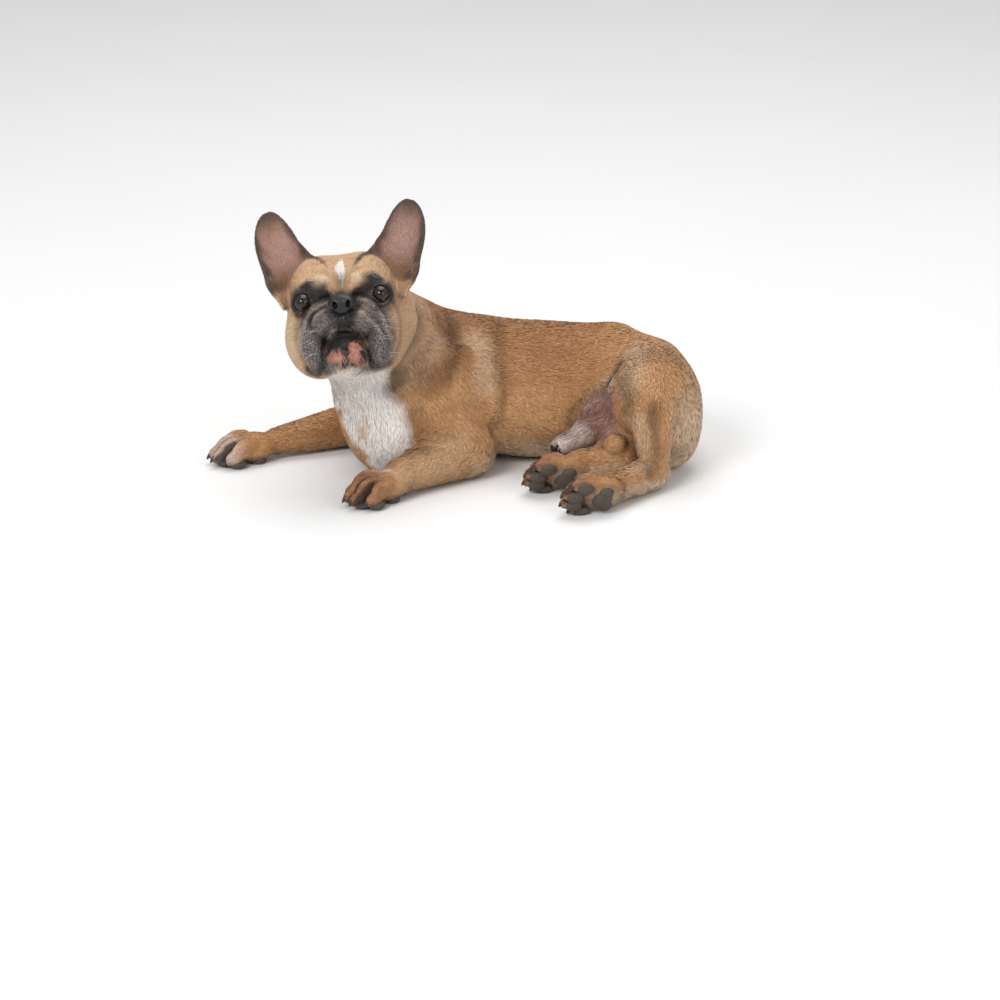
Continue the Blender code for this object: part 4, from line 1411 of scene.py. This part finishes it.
@dataclass(frozen=True)
class Finish:
    """A material on the Principled shader. Its constants go on the shader's own sockets."""

    name: str
    roughness: float
    sheen: float = 0.0
    specular: float = 0.5
    coat: float = 0.0

    def start(self) -> tuple[bpy.types.Material, Nodes, bpy.types.Node]:
        """Returns the material, its node maker and its shader."""
        material = bpy.data.materials.new(self.name)
        material.use_nodes = True
        shader = material.node_tree.nodes["Principled BSDF"]
        shader.inputs["Roughness"].default_value = self.roughness
        shader.inputs["Sheen Weight"].default_value = self.sheen
        shader.inputs["Sheen Roughness"].default_value = 0.45
        shader.inputs["Specular IOR Level"].default_value = self.specular
        shader.inputs["Coat Weight"].default_value = self.coat
        shader.inputs["Coat Roughness"].default_value = 0.06
        return material, Nodes(material.node_tree), shader

    def coated(
        self, colours: bpy.types.NodeTree, grain: bpy.types.NodeTree, strands: bool
    ) -> bpy.types.Material:
        """Returns the finish of the skin, or of the hair over it.

        Args:
            colours: the group of coat colours.
            grain: the group of fine relief.
            strands: whether this is hair, whose tufts differ in tone from root to tip.

        Returns:
            The material.
        """
        material, nodes, shader = self.start()
        tint = nodes.add("Group", node_tree=colours)
        tint.inputs["Mottle"].default_value = 0.2 if strands else 0.35
        colour = tint.outputs["Color"]
        link = material.node_tree.links.new
        if strands:
            strand = nodes.split("strand")
            tone = nodes.spread(strand[0], 0.0, 1.0, 0.74, 1.18)
            tip = nodes.spread(strand[1], 0.0, 1.0, 0.8, 1.06)
            link(
                nodes.mix(1.0, colour, nodes.grey(nodes.times(tone, tip)), "MULTIPLY"),
                shader.inputs["Base Color"],
            )
            return material
        # The skin is darker than the hair over it: painted shade under the coat.
        link(nodes.mix(1.0, colour, (0.86, 0.83, 0.8, 1.0), "MULTIPLY"), shader.inputs["Base Color"])
        wet = nodes.split("marks_c")[2]
        link(nodes.spread(wet, 0.0, 0.8, self.roughness, 0.16), shader.inputs["Roughness"])
        self.pebbled(nodes, shader, grain, (700.0, 0.5), (0.5, 0.0006))
        return material

    def pebbled(
        self,
        nodes: Nodes,
        shader: bpy.types.Node,
        grain: bpy.types.NodeTree,
        cells: tuple[float, float],
        relief: tuple[float, float],
        invert: bool = False,
    ) -> bpy.types.NodeSocket:
        """Gives a shader fine relief.

        Args:
            nodes: the material's node maker.
            shader: its shader.
            grain: the group of fine relief.
            cells: the group's scale, and its share of pebbles.
            relief: the bump's strength and depth.
            invert: whether the cells' middles stand up.

        Returns:
            The height, for the colour to follow.
        """
        scale, pebbles = cells
        strength, depth = relief
        height = nodes.add("Group", {"Scale": scale, "Pebbles": pebbles}, node_tree=grain).outputs["Height"]
        bump = nodes.add("Bump", {"Height": height, "Strength": strength, "Distance": depth}, invert=invert)
        nodes.tree.links.new(bump.outputs[0], shader.inputs["Normal"])
        return height

    def leather(self, grain: bpy.types.NodeTree) -> bpy.types.Material:
        """Returns black nose leather: fine pebbles, with painted shade between them."""
        material, nodes, shader = self.start()
        height = self.pebbled(nodes, shader, grain, (1100.0, 0.85), (0.6, 0.0005), invert=True)
        # Darker in the low grooves where the cells meet: painted shade.
        colour = nodes.mix(nodes.spread(height, 0.1, 0.6), shade(25, 23, 24), shade(9, 8, 9))
        nodes.tree.links.new(colour, shader.inputs["Base Color"])
        return material

    def horn(self, grain: bpy.types.NodeTree) -> bpy.types.Material:
        """Returns claw horn: nearly black, paler and worn to the tip, with faint lines."""
        material, nodes, shader = self.start()
        along = nodes.split("strand")[1]
        colour = nodes.mix(nodes.spread(along, 0.5, 1.0, 0.0, 0.45), shade(26, 21, 20), shade(92, 76, 66))
        nodes.tree.links.new(colour, shader.inputs["Base Color"])
        self.pebbled(nodes, shader, grain, (800.0, 0.1), (0.3, 0.0003))
        return material

    def eyeball(self) -> bpy.types.Material:
        """Returns the eye: pupil, brown iris with rays, dark rim, then the white.

        The attribute "look" holds the angle from the middle of the pupil in radians, and the
        turn about it.
        """
        material, nodes, shader = self.start()
        angle, rays = nodes.split("look")[0], nodes.noise(420.0)
        iris = nodes.mix(nodes.spread(rays, 0.35, 0.65), shade(34, 17, 12), shade(66, 34, 24))
        colour = nodes.mix(nodes.spread(angle, 0.34, 0.42), shade(4, 3, 3), iris)
        colour = nodes.mix(nodes.spread(angle, 0.56, 0.74), colour, shade(10, 7, 6))
        colour = nodes.mix(nodes.spread(angle, 0.88, 1.0), colour, shade(34, 27, 27))
        material.node_tree.links.new(colour, shader.inputs["Base Color"])
        return material

    def plain(self, colour: tuple, scale: float = 60.0) -> bpy.types.Material:
        """Returns one colour with a faint cloud over it."""
        material, nodes, shader = self.start()
        cloud = nodes.noise(scale)
        dim = tuple(value * 0.96 for value in colour[:3]) + (1.0,)
        material.node_tree.links.new(nodes.mix(cloud, colour, dim), shader.inputs["Base Color"])
        return material


# ------------------------------------------------------------------ meshes


def layout_shift() -> Array:
    """Returns how far the frame lies from the body's space, from the middles of the eyes."""
    eyes = [np.mean(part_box("eye_" + side), axis=0) for side in SIDES]
    laid = [eye_point(side) for side in SIDES.values()]
    return np.mean(eyes, axis=0) - np.mean(laid, axis=0)


SHIFT = layout_shift()


def new_piece(
    name: str, points: Array, faces: Array, slot: str | None, material: bpy.types.Material
) -> bpy.types.Object:
    """Makes a smooth piece that rides on the dog.

    Args:
        name: its name.
        points: vertices in the body's space.
        faces: a row of vertex numbers for each face, all of one length.
        slot: None for a piece of the stage; any other value attaches the piece to the dog.
        material: its material.

    Returns:
        The object, at the origin.
    """
    mesh = bpy.data.meshes.new(name)
    count, sides = faces.shape
    mesh.vertices.add(len(points))
    mesh.vertices.foreach_set("co", (points + SHIFT).astype(np.float32).ravel())
    mesh.loops.add(count * sides)
    mesh.loops.foreach_set("vertex_index", faces.astype(np.int32).ravel())
    mesh.polygons.add(count)
    mesh.polygons.foreach_set("loop_start", np.arange(count, dtype=np.int32) * sides)
    mesh.update(calc_edges=True)
    mesh.polygons.foreach_set("use_smooth", np.ones(count, bool))
    mesh.materials.append(material)
    piece = bpy.data.objects.new(name, mesh)
    bpy.context.scene.collection.objects.link(piece)
    if slot is None:
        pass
    else:
        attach(piece, "root")
    return piece


def colour_points(piece: bpy.types.Object, values: dict[str, Array]) -> None:
    """Writes attributes of four numbers on the piece's vertices."""
    for name, rows in values.items():
        if rows.shape[1] < 4:
            rows = np.hstack([rows, np.ones((len(rows), 4 - rows.shape[1]))])
        layer = piece.data.attributes.new(name, "FLOAT_COLOR", "POINT")
        layer.data.foreach_set("color", rows.astype(np.float32).ravel())


def vertices_of(mesh: bpy.types.Mesh) -> tuple[Array, Array]:
    """Returns a mesh's vertices in the body's space, and their normals."""
    points, normals = np.empty(len(mesh.vertices) * 3), np.empty(len(mesh.vertices) * 3)
    mesh.vertices.foreach_get("co", points)
    mesh.vertex_normals.foreach_get("vector", normals)
    return points.reshape(-1, 3) - SHIFT, normals.reshape(-1, 3)


def grid_faces(rows: int, columns: int, closed: bool = True) -> Array:
    """Returns the quads of a grid whose columns close into a ring, or don't."""
    row, column = np.meshgrid(np.arange(rows - 1), np.arange(columns - (not closed)), indexing="ij")
    after = (column + 1) % columns
    corners = [
        row * columns + column, row * columns + after, (row + 1) * columns + after,
        (row + 1) * columns + column,
    ]
    return np.stack([corner.ravel() for corner in corners], 1)


def carried(path: Array, radii: Array, sides: int) -> Array:
    """Returns rings of points about a path, each square to it and of its own radius."""
    ahead = unit(np.gradient(path, axis=0))
    side = unit(np.cross(ahead, (0.12, 0.31, 0.94)))
    up = np.cross(side, ahead)
    angle = np.linspace(0, 2 * math.pi, sides, endpoint=False)
    ring = side[:, None] * np.cos(angle)[None, :, None] + up[:, None] * np.sin(angle)[None, :, None]
    return (path[:, None] + ring * radii[:, None, None]).reshape(-1, 3)


def uv_map(piece: bpy.types.Object, places: Array) -> None:
    """Gives a piece the map that its finish is baked through, from one place for each vertex."""
    mesh = piece.data
    corners = np.empty(len(mesh.loops), np.int32)
    mesh.loops.foreach_get("vertex_index", corners)
    mesh.uv_layers.new(name="OFBake").data.foreach_set("uv", places[corners].astype(np.float32).ravel())


@dataclass
class Skin:
    """The one skin of the dog: its field, the grid it was read on, and its mesh."""

    step: float = 0.0015
    most_triangles: int = 188000
    flesh: Sculpture = field(default_factory=sculpted)

    def build(self, material: bpy.types.Material) -> bpy.types.Object:
        """Reads the field on a grid, wraps it, settles each vertex and thins out the plain parts."""
        low, high = np.array([-0.326, -0.25, -0.006]), np.array([0.32, 0.135, 0.356])
        self.values, self.low = self.flesh.grid(low, high, self.step)
        points, quads = net_surface(self.values, self.low, self.step)
        log.info("wrapped the flesh in %d quads", len(quads))
        raised = points[:, 2] > 0.0015
        points[raised] = self.flesh.settle(points[raised], 2)
        points[:, 2] = np.maximum(points[:, 2], 0.0)
        skin = new_piece("skin", points, quads, "coat", material)
        self.thin_out(skin, points)
        points, normals = vertices_of(skin.data)
        self.marks = Marks(self.flesh, points, normals)
        colour_points(skin, self.marks.colours())
        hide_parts(*self.replaced())
        return skin

    def thin_out(self, skin: bpy.types.Object, points: Array) -> None:
        """Thins out the mesh, least on the face, ears and feet."""
        face = np.linalg.norm(SKULL.local(points) - (0.04, 0, 0), axis=1)
        keep = ease(face, 0.105, 0.08)
        for foot in FEET:
            keep = np.maximum(keep, ease(foot.away(points), 0.06, 0.045))
        group = skin.vertex_groups.new(name="plain")
        for level in np.unique(np.round(keep * 8)):
            group.add(np.flatnonzero(np.round(keep * 8) == level).tolist(), 1 - level / 8 * 0.93, "REPLACE")
        thin = skin.modifiers.new("Thin out", "DECIMATE")
        thin.ratio = min(1.0, self.most_triangles / (2 * len(skin.data.polygons)))
        thin.vertex_group = "plain"
        thin.vertex_group_factor = 1.0
        graph = bpy.context.evaluated_depsgraph_get()
        mesh = bpy.data.meshes.new_from_object(skin.evaluated_get(graph))
        skin.modifiers.clear()
        skin.vertex_groups.clear()
        skin.data = mesh
        mesh.name = "skin"

    def replaced(self) -> list[str]:
        """Returns the names of the solids of flesh."""
        pairs = ("ear", "upper_arm", "forearm", "forepaw", "thigh", "shank", "hind_foot")
        single = ["head", "lower_jaw", "neck", "chest", "abdomen", "hindquarters", "tail"]
        return single + [f"{name}_{side}" for name in pairs for side in SIDES]

    def height(self, points: Array) -> Array:
        """Returns how far points stand over the skin, from the grid."""
        return read_grid(self.values, self.low, self.step, points)

    def outward(self, points: Array) -> Array:
        """Returns the field's direction at points, from the grid."""
        offsets = np.eye(3) * self.step
        return unit(np.stack([self.height(points + o) - self.height(points - o) for o in offsets], 1))


@dataclass
class Coat:
    """The hair: blades of three triangles that follow the skin and lie one over the next."""

    skin: Skin
    tufts: int = 318000
    share: dict[CoatPart, float] = field(
        default_factory=lambda: {
            CoatPart.HEAD: 0.175,
            CoatPart.EARS: 0.075,
            CoatPart.NECK: 0.115,
            CoatPart.FRONT: 0.135,
            CoatPart.MIDDLE: 0.13,
            CoatPart.REAR: 0.13,
            CoatPart.FORELEGS: 0.115,
            CoatPart.HIND_LEGS: 0.105,
        }
    )

    def build(self, skin_piece: bpy.types.Object, material: bpy.types.Material) -> None:
        """Scatters the tufts over the skin by area and makes the coat's pieces."""
        mesh = skin_piece.data
        mesh.calc_loop_triangles()
        corners = np.empty(len(mesh.loop_triangles) * 3, np.int32)
        mesh.loop_triangles.foreach_get("vertices", corners)
        corners = corners.reshape(-1, 3)
        points, _ = vertices_of(mesh)
        marks = self.skin.marks
        cross = np.cross(
            points[corners[:, 1]] - points[corners[:, 0]], points[corners[:, 2]] - points[corners[:, 0]]
        )
        area = np.linalg.norm(cross, axis=1) / 2
        middle = points[corners].mean(1)
        bald = np.maximum(marks.values["pad"], marks.values["wet"] * 1.2)
        bald = np.maximum(bald, np.minimum(marks.values["bare"], np.maximum(0.6, marks.values["wet"] * 2)))
        bald = np.maximum(bald, marks.values["inner_ear"] * 0.75)[corners].mean(1)
        hidden = (middle[:, 2] < 0.002) | (np.linalg.norm(SKULL.local(middle) - NOSE_PLACE, axis=1) < 0.0155)
        for side in SIDES.values():
            hidden |= np.linalg.norm(middle - eye_point(side, 0.006), axis=1) < 0.0135
        weight = area * np.clip(1 - bald, 0, 1) * ~hidden
        parts = part_of(middle, marks.on_ear[corners].mean(1))
        total = self.tufts
        for number, part in enumerate(CoatPart):
            rng = np.random.default_rng(SEED + number)
            mine = np.flatnonzero(parts == number)
            count = int(total * self.share[part])
            chosen = rng.choice(mine, count, p=weight[mine] / weight[mine].sum())
            mix = rng.dirichlet((1, 1, 1), count)
            roots = (points[corners[chosen]] * mix[..., None]).sum(1)
            self.piece(part, roots, rng, material)

    def sizes(self, marks: Marks, rng: np.random.Generator) -> tuple[Array, Array, Array]:
        """Returns each tuft's length, half its width, and how high its tip stands."""
        v, points = marks.values, marks.points
        on_head = ease(np.linalg.norm(marks.face, axis=1), 0.105, 0.08)
        nearest_foot = np.min([foot.away(points) for foot in FEET], axis=0)
        on_foot = ease(nearest_foot, 0.05, 0.03)
        small = np.maximum.reduce([on_head, on_foot, marks.on_ear])
        longer = (0.0035 * v["white"] + 0.003 * v["bare"]) * (1 - on_head)
        length = 0.0078 - 0.004 * small + longer - 0.001 * marks.on_ear
        width = 0.00046 - 0.00018 * small
        rise = BODY_COAT + (HEAD_COAT - BODY_COAT) * on_head
        rise = rise + (FOOT_COAT - rise) * np.maximum(on_foot, marks.on_ear)
        varied = rng.uniform(0.7, 1.2, len(points))
        width = width * rng.uniform(0.8, 1.25, len(points))
        return length * varied, width, rise * rng.uniform(0.55, 1.25, len(points))

    def lie(self, points: Array, normals: Array, rng: np.random.Generator) -> Array:
        """Returns how each tuft lies in the skin's plane: guides weighed by nearness, turned a little."""
        guides, ways = lie_of_hair()
        total = np.zeros_like(points)
        for start in range(0, len(points), 20000):
            block = slice(start, start + 20000)
            away = ((points[block, None] - guides[None]) ** 2).sum(2)
            total[block] = (1 / (away + 0.012**2) ** 2) @ ways
        total = unit(total)
        swirl = np.stack([Ripple(0.03, seed, 8)(points) for seed in (21, 22, 23)], 1) * 0.22
        total = total + swirl + rng.normal(0, 0.13, points.shape)
        return unit(total - normals * (total * normals).sum(1, keepdims=True))

    def on_skin(self, points: Array, height: Array) -> tuple[Array, Array]:
        """Returns the points moved to a height over the skin, and the skin's direction there."""
        outward = self.skin.outward(points)
        shift = np.clip(height - self.skin.height(points), -0.003, 0.003)
        return points + outward * shift[:, None], outward

    def piece(
        self, part: CoatPart, roots: Array, rng: np.random.Generator, material: bpy.types.Material
    ) -> None:
        """Makes one piece of the coat: per tuft two points at the root, two at its middle and the tip."""
        count = len(roots)
        normals = self.skin.outward(roots)
        marks = Marks(self.skin.flesh, roots, normals)
        length, width, rise = self.sizes(marks, rng)
        way = self.lie(roots, normals, rng)
        middle, up_middle = self.on_skin(roots + way * (length * 0.5)[:, None], rise * 0.75)
        onward = unit(way - up_middle * (way * up_middle).sum(1, keepdims=True))
        tip, up_tip = self.on_skin(middle + onward * (length * 0.5)[:, None], rise)
        foot = roots - normals * 0.0003
        roll = rng.normal(0, 0.35, count)[:, None]
        side = unit(np.cross(normals, way) + normals * roll) * width[:, None]
        points = np.stack([foot - side, foot + side, middle - side, middle + side, tip], 1).reshape(-1, 3)
        points[:, 2] = np.maximum(points[:, 2], 0.0)
        faces = np.array([[1, 0, 3], [3, 0, 2], [3, 2, 4]])[None] + 5 * np.arange(count)[:, None, None]
        piece = new_piece(part.value, points, faces.reshape(-1, 3), "coat", material)
        glint = unit(side) * rng.normal(0, 0.3, count)[:, None]
        lit = [unit(up + glint - onward * 0.1) for up in (normals, normals, up_middle, up_middle, up_tip)]
        piece.data.normals_split_custom_set_from_vertices(np.stack(lit, 1).reshape(-1, 3))
        colour_points(piece, {name: np.repeat(rows, 5, axis=0) for name, rows in marks.colours().items()})
        tone = np.repeat(np.stack([rng.random(count), np.zeros(count), rng.random(count)], 1), 5, axis=0)
        tone[:, 1] = np.tile([0.0, 0.0, 0.6, 0.6, 1.0], count)
        colour_points(piece, {"strand": tone})
        uv_map(piece, self.patches(part, roots, marks, count))
        log.info("%s: %d tufts", part.value, count)

    def patches(self, part: CoatPart, roots: Array, marks: Marks, count: int) -> Array:
        """Returns a patch of the map for each tuft, at its root's place on the unrolled skin.

        Each bone's flesh is unrolled about it into a column of its own. An ear lies flat, its
        front and its back side by side.
        """
        if part is CoatPart.EARS:
            local = np.stack([ear.local(roots)[:, :2] for ear in EARS])
            nearest = np.abs(np.stack([ear.distance(roots) for ear in EARS])).argmin(0)
            flat = local[nearest, np.arange(count)]
            column = nearest * 2 + (marks.ear_front < 0.5)
            across, along, columns = flat[:, 1] / 0.08 + 0.5, flat[:, 0] / 0.13 + 0.12, 4
        else:
            bones = BONES[part]
            column = np.stack([bone.distance(roots) for bone in bones]).argmin(0)
            unrolled = np.stack([bone.unrolled(roots) for bone in bones])[column, np.arange(count)]
            across, along, columns = unrolled[:, 0], unrolled[:, 1], len(bones)
        place = np.stack(
            [(column + 0.03 + 0.94 * np.clip(across, 0, 1)) / columns, 0.02 + 0.95 * np.clip(along, 0, 1)], 1
        )
        corners = np.array([[-1, -1], [1, -1], [-1, 0.2], [1, 0.2], [0, 1]]) * (PATCH / 2)
        return np.clip(place[:, None] + corners[None], 0.0005, 0.9995).reshape(-1, 2)


@dataclass(frozen=True)
class Eyes:
    """The eyeballs: spheres with a clear bulge over the iris."""

    radius: float = EYE_RADIUS
    bulge: float = 0.0007

    def build(self, material: bpy.types.Material) -> None:
        """Makes both eyes: the radius grows by the bulge, which fades with the angle from the gaze."""
        for word, side in SIDES.items():
            angle = np.linspace(0, math.pi, 40)[:, None]
            around = np.linspace(0, 2 * math.pi, 48, endpoint=False)[None]
            reach = self.radius + self.bulge * np.exp(-((angle / 0.5) ** 2))
            gaze = turned(SKULL.turn @ np.array([1.0, side * 0.06, 0.02]), SKULL.turn[:, 2])
            local = np.stack(
                np.broadcast_arrays(
                    reach * np.cos(angle),
                    reach * np.sin(angle) * np.cos(around),
                    reach * np.sin(angle) * np.sin(around),
                ),
                -1,
            )
            points = eye_point(side) + local.reshape(-1, 3) @ gaze.T
            piece = new_piece(f"eyeball_{word}", points, grid_faces(40, 48), "eye", material)
            look = np.stack([np.repeat(angle.ravel(), 48), np.tile(around.ravel(), 40)], 1)
            colour_points(piece, {"look": np.hstack([look, np.zeros((len(look), 1))])})
            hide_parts("eye_" + word)


@dataclass(frozen=True)
class Nose:
    """The nose leather, with nostrils that turn out and a groove down its middle."""

    step: float = 0.0005

    def build(self, material: bpy.types.Material) -> None:
        """Sculpts the nose as the skin is, on a finer grid."""
        nose = Sculpture()
        turn = SKULL.turn

        def ball(place: Point, radii: Point, tilt: float = 0.0) -> Ellipsoid:
            """Returns an ellipsoid on the nose, tilted about the forward axis."""
            at = SKULL.place(np.add(NOSE_PLACE, place))
            return Ellipsoid(at, radii, turn @ spin((1, 0, 0), tilt))

        nose.join([ball((0, 0, 0), (0.0114, 0.0155, 0.0108))], 0.0)
        nose.join([ball((-0.0015, 0, -0.0085), (0.01, 0.0105, 0.0065))], 0.004)
        for side in SIDES.values():
            nose.join([ball((0.0042, side * 0.009, -0.002), (0.0076, 0.0068, 0.0078), side * 12)], 0.003)
        for side in SIDES.values():
            nose.carve(ball((0.0118, side * 0.0078, -0.0022), (0.0075, 0.0026, 0.0048), side * -14), 0.0012)
            slit = np.array([[0.0095, side * 0.0088, -0.0058], [0.0055, side * 0.0158, -0.0078]])
            inner, outer = SKULL.place(slit + NOSE_PLACE)
            nose.carve(RoundLimb(tuple(inner), tuple(outer), 0.0015, 0.0009), 0.0008)
        groove = np.array([[0.013, 0, 0.007], [0.0135, 0, 0.0], [0.011, 0, -0.009]]) + NOSE_PLACE
        nose.press(SKULL.place(groove), 0.0016, 0.0012)
        centre = SKULL.place(NOSE_PLACE)
        values, low = nose.grid(centre - 0.02, centre + 0.02, self.step)
        points, quads = net_surface(values, low, self.step)
        piece = new_piece("nose_leather", nose.settle(points, 2), quads, "nose_skin", material)
        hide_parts("nose")


@dataclass(frozen=True)
class Claws:
    """The claws of one foot: cones that curve down to a blunt tip."""

    foot: Foot

    BEND = ((0.0125, -0.002), (0.0205, -0.003), (0.0255, -0.012))

    def build(self, material: bpy.types.Material) -> None:
        """Makes four claws: a bent path with rings that shrink along it as a quarter circle does."""
        rings, sides = 12, 10
        t = np.linspace(0, 1, rings)[:, None]
        points, faces = [], []
        for number, (ahead, left, _) in enumerate(self.foot.TOES):
            bend = [self.foot.place(ahead + out, left * 1.08, up) for out, up in self.BEND]
            path = (1 - t) ** 2 * bend[0] + 2 * t * (1 - t) * bend[1] + t**2 * bend[2]
            radii = 0.003 * self.foot.scale * np.sqrt(np.clip(1 - t.ravel() ** 2.2, 0.0004, 1))
            points.append(carried(path, radii, sides))
            faces.append(grid_faces(rings, sides) + number * rings * sides)
        name = self.foot.name.replace("_foot", "")
        piece = new_piece(f"claws_{name}", np.concatenate(points), np.concatenate(faces), "claw", material)
        along = np.tile(np.repeat(t.ravel(), sides), 4)
        colour_points(piece, {"strand": np.stack([along * 0, along, along * 0], 1)})
        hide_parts(*[f"claw_{name}_{number}" for number in range(1, 5)])


@dataclass(frozen=True)
class Whiskers:
    """Short tapering whiskers on the lips and over the eyes."""

    skin: Skin

    def build(self, material: bpy.types.Material) -> None:
        """Makes each whisker on a path that leaves the skin and droops back."""
        rng = np.random.default_rng(SEED)
        rings, sides = 8, 4
        t = np.linspace(0, 1, rings)[:, None]
        points, faces = [], []
        for number in range(28):
            side = 1 if number % 2 else -1
            brow = number >= 24
            left = rng.uniform(0.028, 0.04) if brow else rng.uniform(0.026, 0.056)
            up = 0.044 if brow else rng.uniform(-0.055, -0.012)
            start = dropped(self.skin.flesh, SKULL.place((0.1, side * left, up))[None])
            way = SKULL.turn @ unit([0.55, side * rng.uniform(0.6, 1.1), rng.uniform(-0.5, 0.15)])
            length = rng.uniform(0.014, 0.026)
            path = start - way * 0.0008 + way * length * t - SKULL.turn[:, 0] * (0.35 * length * t**2)
            points.append(carried(path, 0.00022 * (1 - 0.9 * t.ravel()), sides))
            faces.append(grid_faces(rings, sides) + number * rings * sides)
        new_piece("whiskers", np.concatenate(points), np.concatenate(faces), "coat", material)


# ------------------------------------------------------------------ the studio


@dataclass(frozen=True)
class Studio:
    """A pale floor, soft lights and the camera."""

    target: Point = (0.0586, -0.0998, 0.0)
    distance: float = 4.65
    pitch: float = 20.0
    lens: float = 138.02
    floor_level: float = -0.0003  # just under the dog, so that no two faces meet

    def floor(self) -> None:
        """Makes a wide disc: rings of points about the dog."""
        around = np.linspace(0, 2 * math.pi, 64, endpoint=False)
        radii = np.array([0.01, 2.0, 8.0, 30.0])[:, None]
        level = np.full((len(radii), len(around)), self.floor_level)
        points = np.stack([radii * np.cos(around), radii * np.sin(around), level], -1).reshape(-1, 3)
        paint = Finish("studio_floor", 0.7).plain((0.86, 0.86, 0.86, 1.0), 3.0)
        new_piece("floor", points - SHIFT, grid_faces(4, 64), None, paint)

    def light(self, name: str, place: Point, power: float, size: float) -> None:
        """Adds a square light that faces the dog."""
        data = bpy.data.lights.new(name, "AREA")
        data.energy, data.size = power, size
        lamp = bpy.data.objects.new(name, data)
        back = unit(np.subtract(place, (0.0, 0.0, 0.1)))
        across = unit(np.cross((0, 0, 1), back))
        up = np.cross(back, across)
        matrix = np.eye(4)
        matrix[:3, :3] = np.stack([across, up, back], 1)
        matrix[:3, 3] = place
        lamp.matrix_world = Matrix(matrix.tolist())
        bpy.context.scene.collection.objects.link(lamp)

    def build(self) -> None:
        """Sets up the floor, the lights, the sky and the camera."""
        self.floor()
        self.light("key", (-1.6, -2.6, 2.6), 78.0, 1.5)
        self.light("fill", (2.4, -2.4, 1.5), 26.0, 2.0)
        self.light("top", (0.2, 0.8, 2.8), 40.0, 2.2)
        world = bpy.data.worlds.new("pale_sky")
        world.use_nodes = True
        world.node_tree.nodes["Background"].inputs["Color"].default_value = (1.0, 1.0, 1.0, 1.0)
        world.node_tree.nodes["Background"].inputs["Strength"].default_value = 0.55
        bpy.context.scene.world = world
        data = bpy.data.cameras.new("camera")
        data.lens, data.sensor_width = self.lens, 36.0
        camera = bpy.data.objects.new("camera", data)
        pitch = math.radians(self.pitch)
        away = np.array([0.0, -math.cos(pitch), math.sin(pitch)]) * self.distance
        camera.location = np.add(self.target, away).tolist()
        camera.rotation_euler = (math.pi / 2 - pitch, 0.0, 0.0)
        bpy.context.scene.collection.objects.link(camera)
        bpy.context.scene.camera = camera
        bpy.context.scene.view_settings.view_transform = "Standard"


def main() -> None:
    """Builds the dog piece by piece, then the studio."""
    logging.basicConfig(level=logging.INFO, format="%(relativeCreated)7d ms  %(message)s")
    colours, grain = CoatColours().group(), grain_group()
    skin = Skin()
    skin_piece = skin.build(Finish("dog_skin", 0.62, specular=0.35).coated(colours, grain, False))
    log.info("skin: %d faces", len(skin_piece.data.polygons))
    hair = Finish("dog_hair", 0.55, sheen=0.15, specular=0.3).coated(colours, grain, True)
    Coat(skin).build(skin_piece, hair)
    Eyes().build(Finish("dog_eye", 0.1, specular=0.3, coat=0.35).eyeball())
    log.info("eyes")
    Nose().build(Finish("dog_nose", 0.34).leather(grain))
    log.info("nose")
    horn = Finish("dog_claw", 0.35).horn(grain)
    for foot in FEET:
        Claws(foot).build(horn)
    log.info("claws")
    Whiskers(skin).build(Finish("dog_whisker", 0.4).plain(shade(205, 200, 195)))
    log.info("whiskers")
    Studio().build()


if __name__ == "__main__":
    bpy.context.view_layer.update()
    main()
